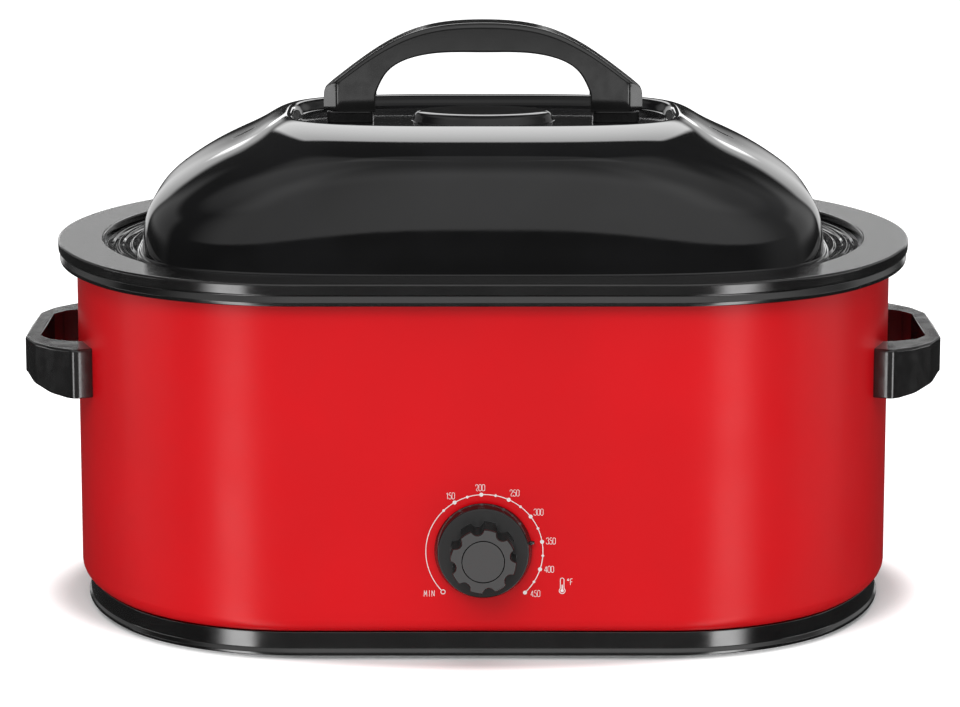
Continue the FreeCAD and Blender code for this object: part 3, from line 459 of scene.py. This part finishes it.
def knob_surface():
    """One profile turned round the axis. Where it is the grip, its radius follows the flutes."""
    line = rounded_line([
        (0.02, 29.4), (12.65, 29.4), (12.65, 31), (GRIP_R, 31), (GRIP_R, 9.6), (27.0, 9.6), (29.2, 2.6),
        (3.05, 2.6), (3.05, 24), (0.02, 24),
    ], (0, 0.2, 0.35, 0.8, 0.5, 0.8, 0.6, 0.2, 0.2, 0))
    angle = np.linspace(0, 2 * np.pi, 360, endpoint=False)
    radius, depth = line[:, :1], line[:, 1:]
    on_grip = (radius > GRIP_SIDE[0]) & (radius < GRIP_SIDE[1]) & (depth > GRIP_SIDE[2])
    radius = np.where(on_grip, radius - GRIP_R + fluted(angle), radius)
    return skin(knob_places(radius, depth, angle))


def pointer():
    """The tooth on the skirt's edge: a short wedge that narrows outwards."""
    half = 1.6
    outline = rounded([(-half, 27.6), (-0.6, 31.0), (0.6, 31.0), (half, 27.6)], (0.2, 0.5, 0.5, 0.2), 4)
    rings = []
    for depth, inset in ((2.6, 0.3), (2.9, 0.0), (4.8, 0.0), (5.2, 0.4)):
        across, along = outline[:, 0] * (1 - inset / half), outline[:, 1] - inset
        x = along * np.sin(KNOB_SETTING) + across * np.cos(KNOB_SETTING)
        z = along * np.cos(KNOB_SETTING) - across * np.sin(KNOB_SETTING)
        rings.append(np.stack([x, np.full(len(x), FACE_Y - depth), KNOB_Z + z], -1))
    return skin(np.array(rings))


def knob_cap():
    """A flat disc, flush in the grip's face."""
    line = rounded_line([(0.02, 29.5), (12.35, 29.5), (12.35, 31), (0.02, 31)], (0, 0.1, 0.35, 0))
    return skin(knob_places(line[:, :1], line[:, 1:], np.linspace(0, 2 * np.pi, 120, endpoint=False)))


fitting("knob_surface", "control", "knob_moulding", [knob_surface(), pointer()])
fitting("knob_cap_surface", "control", "knob_moulding", [knob_cap()])


# ---------------------------------------------------------------- printed scale

DIAL_X, DIAL_Z, DIAL_R = 0.7, 67.7, 34.8
THERMOMETER = (47.0, 46.9)
STROKE = 0.3
INK_DEEP, INK_PROUD = FACE_Y + 0.1, FACE_Y - 0.05
# Each mark is strokes in a unit box: (corners, rounding, closed).
GLYPHS = {
    "0": [([(0, 0), (1, 0), (1, 1), (0, 1)], 0.5, True)],
    "1": [([(0.12, 0.78), (0.55, 1), (0.55, 0)], 0.0, False)],
    "2": [([(0.03, 0.74), (0.03, 1), (0.97, 1), (0.97, 0.58), (0.0, 0), (1, 0)], 0.42, False)],
    "3": [([(0.03, 0.8), (0.03, 1), (0.95, 1), (0.95, 0.54), (0.4, 0.54)], 0.42, False),
          ([(0.4, 0.54), (1, 0.54), (1, 0), (0, 0), (0, 0.22)], 0.42, False)],
    "4": [([(0.74, 0), (0.74, 1), (0, 0.27), (1.05, 0.27)], 0.0, False)],
    "5": [([(0.92, 1), (0.14, 1), (0.1, 0.58), (1, 0.62), (1, 0), (0, 0), (0, 0.2)], 0.4, False)],
    "M": [([(0, 0), (0.12, 1), (0.55, 0.25), (0.98, 1), (1.1, 0)], 0.0, False)],
    "I": [([(0.3, 0), (0.3, 1)], 0.0, False)],
    "N": [([(0, 0), (0, 1), (0.95, 0), (0.95, 1)], 0.0, False)],
    "F": [([(0, 0), (0, 1), (0.85, 1)], 0.0, False), ([(0, 0.52), (0.7, 0.52)], 0.0, False)],
}
ADVANCE = {"1": 0.72, "M": 1.5, "I": 0.95, "N": 1.3}


def dot(x, z, radius):
    """A printed disc, a little prouder than the lines: x + r cos u, z + r sin u at two depths."""
    angle = np.linspace(0, 2 * np.pi, 28, endpoint=False)
    across, up = x + radius * np.cos(angle), z + radius * np.sin(angle)
    return skin(np.array([np.column_stack([across, np.full(28, y), up]) for y in (INK_DEEP, INK_PROUD - 0.03)]))


def stroke(path, width=STROKE, closed=False):
    """A printed line: at each point, half its width to both sides, square to the line's direction there."""
    path = np.asarray(path, float)
    ahead = np.roll(path, -1, 0) - np.roll(path, 1, 0) if closed else np.gradient(path, axis=0)
    side = np.column_stack([-ahead[:, 1], ahead[:, 0]]) / np.linalg.norm(ahead, axis=1, keepdims=True) * width / 2
    corners = ((side, INK_DEEP), (-side, INK_DEEP), (-side, INK_PROUD), (side, INK_PROUD))
    rings = [np.column_stack([(path + offset)[:, 0], np.full(len(path), y), (path + offset)[:, 1]])
             for offset, y in corners]
    return skin(np.stack(rings, 1), closed)


def sharp(line):
    """An open line whose corners are kept, with a point close before and after each of them."""
    points = [line[0]]
    for before, corner, after in zip(line, line[1:], line[2:]):
        points += [corner + 0.1 * v / np.linalg.norm(v) for v in (before - corner, after - corner)]
    return np.array(points + [line[-1]])


def lettering(text, x, z, height=3.8, width=1.55, gap=0.42):
    """Marks in a row, centred on x and z, each stretched from its unit box to its width and height."""
    steps = [ADVANCE.get(mark, 1.0) * width + gap for mark in text]
    left = x - (sum(steps) - gap) / 2
    made = []
    for mark, step in zip(text, steps):
        for corners, bend, closed in GLYPHS[mark]:
            line = np.asarray(corners, float) * (width, height) + (left, z - height / 2)
            if closed:
                path = rounded(line, bend * width, 6)
            elif bend:
                path = rounded_line(line, bend * width, 6)
            else:
                path = sharp(line)
            made.append(stroke(path, closed=closed))
        left += step
    return made


def dial_place(degrees):
    """A point on the scale's ring, clockwise from the top."""
    angle = np.radians(degrees)
    return np.stack([DIAL_X + DIAL_R * np.sin(angle), DIAL_Z + DIAL_R * np.cos(angle)], -1)


def dial_print():
    """The ring, its dots, the numbers beside them, and a small thermometer with the unit. Every round is a centre
    plus a radius times the cosine and sine of its angle."""
    made = [stroke(dial_place(np.linspace(-132.8, 136, 220)), 0.5)]
    turn = np.linspace(0, 2 * np.pi, 32, endpoint=False)
    start = dial_place(-135.0)
    made.append(stroke(start + 1.25 * np.stack([np.cos(turn), np.sin(turn)], -1), 0.5, True))
    made += [dot(*dial_place(d), 1.2) for d in (-30.5, -3, 24.5, 52, 80, 108, 136)]
    made += [dot(*dial_place(d), 0.8) for d in (-44, -17, 11, 38, 66, 94, 122)]
    labels = (
        ("150", -30.5, -2.5, 4.0), ("200", -3, -0.7, 4.2), ("250", 24.5, 3.4, 4.1), ("300", 52, 4.7, 2.7),
        ("350", 80, 5.2, 0.5), ("400", 108, 5.4, 0.0), ("450", 136, 6.2, -0.6), ("MIN", -135, -8.0, -0.9),
    )
    for text, degrees, across, up in labels:
        x, z = dial_place(degrees)
        made += lettering(text, x + across, z + up)
    x, z = THERMOMETER
    round_bulb = np.radians(np.linspace(128, 412, 24))
    bulb = np.column_stack([x + 1.75 * np.cos(round_bulb), z - 3.1 + 1.75 * np.sin(round_bulb)])
    top = np.radians(np.linspace(0, 180, 12))
    bulb = np.vstack([bulb, np.column_stack([x + 1.08 * np.cos(top), z + 3.6 + 1.08 * np.sin(top)])])
    made += [stroke(bulb, 0.42, True), dot(x, z - 3.1, 0.95), stroke([(x, z - 2.5), (x, z - 0.5), (x, z + 0.6)], 0.7)]
    ring = np.stack([x + 3.6 + 0.5 * np.cos(turn), z + 3.6 + 0.5 * np.sin(turn)], -1)
    made.append(stroke(ring, 0.3, True))
    return made + lettering("F", x + 5.7, z + 2.3)


piece("dial_scale", "housing", PRINT, dial_print(), smooth=False)


# ---------------------------------------------------------------- insert pan and rack


def insert_pan():
    """The pan's section, from the middle of its floor over its ridged flange and back below, carried round the
    oval. The flats in the middle of the floor are closed by fans."""
    section = [(60, 60, 0), (129.5, 60, 18.5), (129.5, 225.1, 5.5)]
    for start, end in ((143.5, 147.5), (153.4, 155.9)):
        section += [(start - 1.1, 225.1, 0.5), (start, 226.3, 0.6), (end, 226.3, 0.6), (end + 1.1, 225.1, 0.5)]
    section += [(158.8, 225.1, 0.5), (159.9, 226.4, 0.6), (163.4, 226.4, 0.8), (163.4, 223.6, 0.6),
                (131, 223.6, 4), (131, 58.5, 20), (60, 58.5, 0)]
    section = np.array(section)
    return skin(round_oval(rounded_line(section[:, :2], section[:, 2]), 64, 72))


fitting("insert_pan_surface", "pan", "black_enamel", [insert_pan()])

RACK_Z, RACK_TOP, RACK_PITCH, BAIL_TOP, BAIL_Y = 72.0, 75.5, 32.0, 176, 38
RACK_FOOT_Z = 60.3
RACK_CORNERS = [(98.0, 112.0), (158.0, 80.0), (184.0, 40.0)]


def roasting_rack():
    """A rounded wire frame, straight cross wires laid on it, four feet and two lifting bails. A cross wire reaches
    1 mm past the frame's line, which falls evenly from its first corner to its second."""
    half = [(x, -y) for x, y in RACK_CORNERS] + RACK_CORNERS[::-1]
    outline = rounded(half + [(-x, -y) for x, y in half], 18, 8)
    made = [wire(np.column_stack([outline, np.full(len(outline), RACK_Z)]), (0, 0, 1), closed=True)]
    (first_x, first_y), (second_x, second_y), (end_x, _) = RACK_CORNERS
    for i in range(-4, 5):
        x = RACK_PITCH * i
        reach = first_y - (first_y - second_y) * max(0.0, abs(x) - first_x) / (second_x - first_x) + 1.0
        line = np.column_stack([np.full(9, x), np.linspace(-reach, reach, 9), np.full(9, RACK_TOP)])
        made.append(wire(line, (1, 0, 0)))
        if abs(i) == 3:
            for y in (10.0 - reach, reach - 10.0):
                line = np.column_stack([np.full(7, x), np.full(7, y), np.linspace(RACK_FOOT_Z, RACK_TOP, 7)])
                made.append(wire(line, (1, 0, 0)))
    bail = [(-BAIL_Y, RACK_Z - 1), (-BAIL_Y, BAIL_TOP), (BAIL_Y, BAIL_TOP), (BAIL_Y, RACK_Z - 1)]
    bail = rounded_line(np.array(bail, float), 12, 8)
    made += [wire(np.column_stack([np.full(len(bail), x), bail]), (1, 0, 0)) for x in (-end_x, end_x)]
    return made


fitting("roasting_rack_surface", "rack", "chrome_wire", roasting_rack())


# ---------------------------------------------------------------- lid

# Each level of the lid's outside is (height, half length, half width, squareness), from the foot to the middle.
LID_LEVELS = (
    (226.6, 212.9, 155.9, 3.9), (229, 212.4, 155.5, 3.9), (232, 212, 155.1, 3.9), (238, 211.3, 154.2, 3.9),
    (246, 210.4, 153.1, 3.88), (254, 207.9, 151.9, 3.85), (261, 203.2, 150.6, 3.8), (268, 195.8, 149, 3.74),
    (275, 186, 147, 3.66), (282, 175.2, 144.4, 3.57), (288.5, 162.6, 140.8, 3.5), (294, 150.4, 136.4, 3.44),
    (298.6, 142, 130.4, 3.4), (302, 137, 122.6, 3.4), (304.6, 133, 112.3, 3.42), (306.4, 129.4, 101.5, 3.46),
    (307.8, 126.3, 90, 3.5), (308.6, 123.8, 81.5, 3.5), (308.9, 122.3, 77.6, 3.5), (308.3, 120.2, 74.6, 3.5),
    (306, 118.4, 72.6, 3.5), (303.4, 117, 71, 3.5), (302.2, 115.2, 69.2, 3.5), (302, 112.5, 66.5, 3.4),
    (302, 104, 60, 3.2), (302, 88, 50, 2.8), (302, 70, 40, 2.4), (302, 56, 35, 2.1), (302, 45.6, 31.6, 2),
    (302.1, 44.6, 30.6, 2), (302.6, 44.2, 30.2, 2), (304.4, 43.6, 29.5, 2), (306.3, 43, 28.8, 2),
    (307.5, 41.8, 27.6, 2), (308.2, 39.8, 25.4, 2), (308.55, 37, 22.8, 2), (308.6, 32, 19, 2), (308.6, 22, 12, 2),
    (308.6, 8, 4, 2),
)
LID_WALL = 1.5
LID_BEAD = [(-1.1, 226.6), (2.4, 226.6), (2.4, 229), (0, 229), (0, 231.4)]  # (out from the wall, height)
BEAD_END_Z, INSIDE_START_Z = 231.6, 227.9
LOW_WALL_Z, VENT_LOW_Z = 250, 280
VENT_SPAN = (143.3, 154.7)  # the half lengths of the lid's levels between which a vent lies


def lid_grid(levels, angle):
    """Each level's outline in polar form, radius = (|cos p / a|^n + |sin p / b|^n)^(-1/n)."""
    z, a, b, n = (column[:, None] for column in np.asarray(levels).T)
    radius = (np.abs(np.cos(angle) / a) ** n + np.abs(np.sin(angle) / b) ** n) ** (-1 / n)
    return np.stack([radius * np.cos(angle), radius * np.sin(angle), z + 0 * angle], -1)


def lid_surface():
    """The lid: its outside is the levels' outlines over a beaded foot, and its inside is the outside moved in along
    its own normals, the cross products of the steps around and up. At both ends is a narrow vent, where a few quads
    of both are left out and their edges are joined."""
    wall = soft_curve(LID_LEVELS, 3)
    low = wall[:, 0] < LOW_WALL_Z
    shift, z = rounded_line(LID_BEAD, (0, 1.1, 1.15, 0.9, 0), 6).T
    a, b, n = (np.interp(z, wall[low, 0], wall[low, k]) for k in (1, 2, 3))
    foot = np.column_stack([z, a + shift, b + shift, n])
    # A column at each degree, but at 0 and 180, in a vent's middle, one at half a degree to both sides instead.
    angle = np.arange(0, 360, 1.0)
    angle = angle[(angle != 0) & (angle != 180)]
    angle = np.radians(np.sort(np.concatenate([angle, [0.5, 179.5, 180.5, 359.5]])))
    inner = lid_grid(wall, angle)
    along = np.roll(inner, -1, 1) - np.roll(inner, 1, 1)
    up = np.gradient(inner, axis=0)
    normal = np.cross(along, up)
    normal /= np.linalg.norm(normal, axis=-1, keepdims=True)
    first = int(np.argmax(wall[:, 0] > BEAD_END_Z))
    outer = np.concatenate([lid_grid(foot, angle), inner[first:]])
    inner = inner - LID_WALL * normal
    inner = inner[int(np.argmax(wall[:, 0] > INSIDE_START_Z)):]
    gap = len(outer) - len(inner)
    rows, around = outer.shape[:2]
    top = np.arange(rows * around).reshape(rows, around)
    under = np.arange(len(inner) * around).reshape(-1, around) + rows * around
    half_length = outer[:, 0, 0]
    is_vent = (half_length > VENT_SPAN[0]) & (half_length < VENT_SPAN[1]) & (outer[:, 0, 2] > VENT_LOW_Z)
    start, end = np.flatnonzero(is_vent)[[0, -1]]
    vent_columns = (around - 1, around // 2 - 1)
    faces = []
    for index, reach in ((top, slice(start, end)), (under, slice(start - gap, end - gap))):
        low, high = index[:-1], index[1:]
        quads = np.stack([low, np.roll(low, -1, 1), np.roll(high, -1, 1), high], -1)
        solid = np.ones(quads.shape[:2], bool)
        solid[reach, vent_columns] = False
        faces.append(quads[solid])
    faces[1] = faces[1][:, ::-1]
    faces.append(np.stack([top[0], under[0], np.roll(under[0], -1), np.roll(top[0], -1)], -1))
    for column in vent_columns:
        beside = (column + 1) % around
        span = np.arange(start, end + 1)
        loop = np.concatenate([top[span, column], top[span[::-1], beside]])
        below = np.concatenate([under[span - gap, column], under[span[::-1] - gap, beside]])
        faces.append(np.stack([loop, np.roll(loop, -1), np.roll(below, -1), below], -1))
    points = np.vstack([outer.reshape(-1, 3), inner.reshape(-1, 3), outer[-1].mean(0), inner[-1].mean(0)])
    hubs = len(points) - 2, len(points) - 1
    for ring, hub in ((top[-1], hubs[0]), (under[-1][::-1], hubs[1])):
        faces.append(np.stack([ring, np.roll(ring, -1), np.full(around, hub), np.full(around, -1)], -1))
    return points, np.vstack(faces)


fitting("lid_shell_surface", "lid", "black_enamel", [lid_surface()])


# One half of each of the arch's outlines, from its leg to its middle, as (x, height).
ARCH_CROWN = [(100, 322.5), (84, 335), (42, 359.4), (0, 364.8)]
ARCH_OPENING = [(67.3, 320), (59.5, 334.6), (40, 344.2), (0, 346.4)]
ARCH_FOOT_Z, ARCH_HALF_DEPTH, BEVEL_X = 309.2, 14.0, 91.5


def lid_handle():
    """The arch: a rounded bar between an outer and an inner outline, matched by their lengths. Each face has its own
    row of points. The half depth is ARCH_HALF_DEPTH less what the legs' upright bevels take,
    (t + sqrt(t^2 + 0.6)) / 2 with t the distance past BEVEL_X."""
    lines = []
    for half in ARCH_CROWN, ARCH_OPENING:
        foot_x = half[0][0]
        line = smooth_through([(-x, z) for x, z in half] + half[-2::-1], 90)
        line = np.vstack([(-foot_x, ARCH_FOOT_Z), line, (foot_x, ARCH_FOOT_Z)])
        lines.append(soft_curve(even_line(line, 90), 2))
    outer, inner = lines
    width = np.linalg.norm(outer - inner, axis=1)
    across = (outer - inner) / width[:, None]
    zero, half = np.zeros(len(width)), np.full(len(width), ARCH_HALF_DEPTH)
    corners = [(zero, -half), (width, -half), (width, half), (zero, half)]
    corners = np.stack([np.column_stack(pair) for pair in corners], 1)
    outline = rounded(corners, (1.0, 3.2, 3.2, 1.0), 8)
    each = outline.shape[1] // 4
    near, far = outline[:, each - 1:each], outline[:, each:each + 1]
    share = np.linspace(0, 1, 26)[1:-1, None]
    front = near * (1 - share) + far * share
    back = front[:, ::-1] * (1, -1)
    outline = np.concatenate([outline[:, :each], front, outline[:, each:3 * each], back, outline[:, 3 * each:]], 1)
    plan = inner[:, None] + outline[..., :1] * across[:, None]
    past = np.abs(plan[..., 0]) - BEVEL_X
    depth = ARCH_HALF_DEPTH - (past + np.sqrt(past**2 + 0.6)) / 2
    return skin(np.stack([plan[..., 0], np.clip(outline[..., 1], -depth, depth), plan[..., 1]], -1))


arch = piece("lid_handle_surface", "lid", ARCH_LOOK, [lid_handle()], ("lid_handle",))
arch.visible_glossy = False  # the lid's recess shows no mirror image of it
fitting("lid_handle_spacers_surface", "lid", "handle_moulding", [
    block((x - 14.5, -12, 302), (x + 14.5, 12, ARCH_FOOT_Z), 4) for x in (-83.4, 83.4)])


# ---------------------------------------------------------------- light, floor and camera


def band(tree, value, low, high, soft_low, soft_high):
    """One between low and high and nothing outside, with soft ends."""
    rise = tree.ramp(value, low - soft_low, low)
    fall = tree.ramp(value, high, high + soft_high, 1.0, 0.0)
    return tree.sums("MULTIPLY", rise, fall)


# What glossy finishes mirror outside the soft boxes, and the level light that everything else gets.
DIM, FILL = 0.03, 0.5
# Soft boxes that glossy finishes mirror. Each is a side (1 right, 0 both), (azimuth low, high, softness low, high),
# (elevation low, high, softness low, high) and a level. Azimuth is 0 towards the front and 180 behind.
SOFT_BOXES = (
    (0, (-200, 40, 1, 16), (-80, 2, 10, 8), 0.1),
    (0, (30, 40, 4, 12), (-60, -12, 10, 8), 5.2),
    (0, (-200, 45, 1, 40), (12, 46, 1.5, 36), 0.62),
    (1, (5, 60, 30, 40), (12, 46, 1.5, 30), 0.25),
    (0, (-200, 140, 1, 12), (60, 91, 14, 1), 0.28),
    (0, (128, 181, 12, 1), (76, 91, 4, 1), 0.28),
    (0, (60, 120, 30, 20), (48, 70, 10, 16), 0.25),
    (1, (80, 135, 30, 20), (4, 40, 8, 15), 0.2),
    (0, (168, 181, 3, 1), (17, 33, 4, 3), 2.1),
    (0, (158, 170, 5, 3), (-5, 10, 5, 6), 0.9),
    (0, (-200, 40, 1, 16), (-7.6, -6.4, 0.6, 0.5), 0.9),
    (0, (76, 110, 6, 6), (-7.5, -4, 0.8, 3), 2.5),
    (0, (170, 175.5, 2, 1), (5.5, 8, 0.5, 0.4), 2.2),
    (0, (115, 145, 15, 15), (6, 24, 8, 8), 0.3),
)


def build_world():
    """White to the camera, soft boxes to glossy finishes, and a level fill to everything else."""
    world = bpy.data.worlds.new("studio")
    bpy.context.scene.world = world
    tree = Tree(world)
    direction = tree.add("TexCoord", "Generated")
    x, y, z = tree.add("SeparateXYZ", None, {0: direction}).outputs
    behind = tree.sums("MULTIPLY", y, -1.0)
    sides = {0: tree.sums("ABSOLUTE", x), 1: x}
    azimuth = {side: tree.sums("DEGREES", tree.sums("ARCTAN2", reach, behind)) for side, reach in sides.items()}
    elevation = tree.sums("DEGREES", tree.sums("ARCSINE", z))
    total = DIM
    for side, around, up, level in SOFT_BOXES:
        share = tree.sums("MULTIPLY", band(tree, azimuth[side], *around), band(tree, elevation, *up))
        total = tree.sums("MULTIPLY_ADD", share, level, total)
    ray = tree.add("LightPath", None).outputs
    level = tree.sums("MULTIPLY_ADD", ray["Is Glossy Ray"], tree.sums("SUBTRACT", total, FILL), FILL)
    level = tree.sums("MULTIPLY_ADD", ray["Is Camera Ray"], tree.sums("SUBTRACT", 1.0, level), level)
    back = tree.add("Background", inputs={"Color": (1, 1, 1, 1), "Strength": level})
    tree.add("OutputWorld", None, inputs={"Surface": back})
    world.cycles.sampling_method = "NONE"


def soft_lamp(name, place, target, size, power):
    """An area lamp aimed at a point, left out of reflections."""
    data = bpy.data.lights.new(name, "AREA")
    data.shape, data.size, data.size_y, data.energy = "RECTANGLE", size[0], size[1], power
    lamp = bpy.data.objects.new(name, data)
    lamp.location = place
    aim = Vector(target) - Vector(place)
    lamp.rotation_euler = aim.to_track_quat("-Z", "Y").to_euler()
    lamp.visible_glossy = False
    bpy.context.scene.collection.objects.link(lamp)


def build_floor():
    """A pale floor that shows white to the camera and keeps the oven's soft shadow. What it adds for the camera rises
    with the distance from the oven's oval, taken as an ellipse's: the root of (x / long)^2 + (y / short)^2. Close
    round the oven it adds little, so the floor is darker there: painted shade round the oven's foot, on top of its
    real shadow."""
    long, short = 0.268, 0.194
    floor_finish = bpy.data.materials.new("floor_paper")
    tree = Tree(floor_finish)
    place = tree.add("TexCoord", "Object")
    middle = (0, -CENTRE_Y * 0.001 / short, 0)
    place = tree.add("Mapping", inputs={"Vector": place, "Location": middle, "Scale": (1 / long, 1 / short, 1)})
    away = tree.add("VectorMath", "Value", {0: place}, operation="LENGTH")
    # Painted shade: little camera glow close round the oven, so the floor is darker there.
    level = tree.ramp(away, 0.97, 1.1, 0.1, 0.8)
    diffuse = tree.add("BsdfDiffuse", inputs={"Color": (0.8, 0.8, 0.8, 1)})
    ray = tree.add("LightPath", None).outputs
    glow = tree.add("Emission", inputs={"Strength": tree.sums("MULTIPLY", ray["Is Camera Ray"], level)})
    both = tree.add("AddShader", inputs={0: diffuse, 1: glow})
    tree.add("OutputMaterial", None, inputs={"Surface": both})
    reach = 12.0
    mesh = bpy.data.meshes.new("studio_floor")
    corners = [(-reach, -reach, 0), (reach, -reach, 0), (reach, reach, 0), (-reach, reach, 0)]
    mesh.from_pydata(corners, [], [(0, 1, 2, 3)])
    mesh.materials.append(floor_finish)
    floor = bpy.data.objects.new("studio_floor", mesh)
    bpy.context.scene.collection.objects.link(floor)
    floor.visible_glossy = False


def build_camera():
    """A long lens in front, a little above the oven."""
    rise, distance = math.radians(10.9), 2.4
    aim = Vector((-0.0019, CENTRE_Y * 0.001, 0.1525))
    data = bpy.data.cameras.new("camera")
    data.lens, data.sensor_width = 141.2, 36.0
    camera = bpy.data.objects.new("camera", data)
    camera.location = aim + distance * Vector((0, -math.cos(rise), math.sin(rise)))
    camera.rotation_euler = (math.pi / 2 - rise, 0, 0)
    bpy.context.scene.collection.objects.link(camera)
    bpy.context.scene.camera = camera


build_world()
build_floor()
build_camera()
soft_lamp("key_front", (-0.5, -3.2, 2.3), (0, 0, 0.15), (2.2, 1.6), 62)
soft_lamp("key_top", (0.3, -0.4, 3.2), (0, 0, 0.15), (2.4, 2.0), 40)
bpy.context.scene.view_settings.view_transform = "Standard"
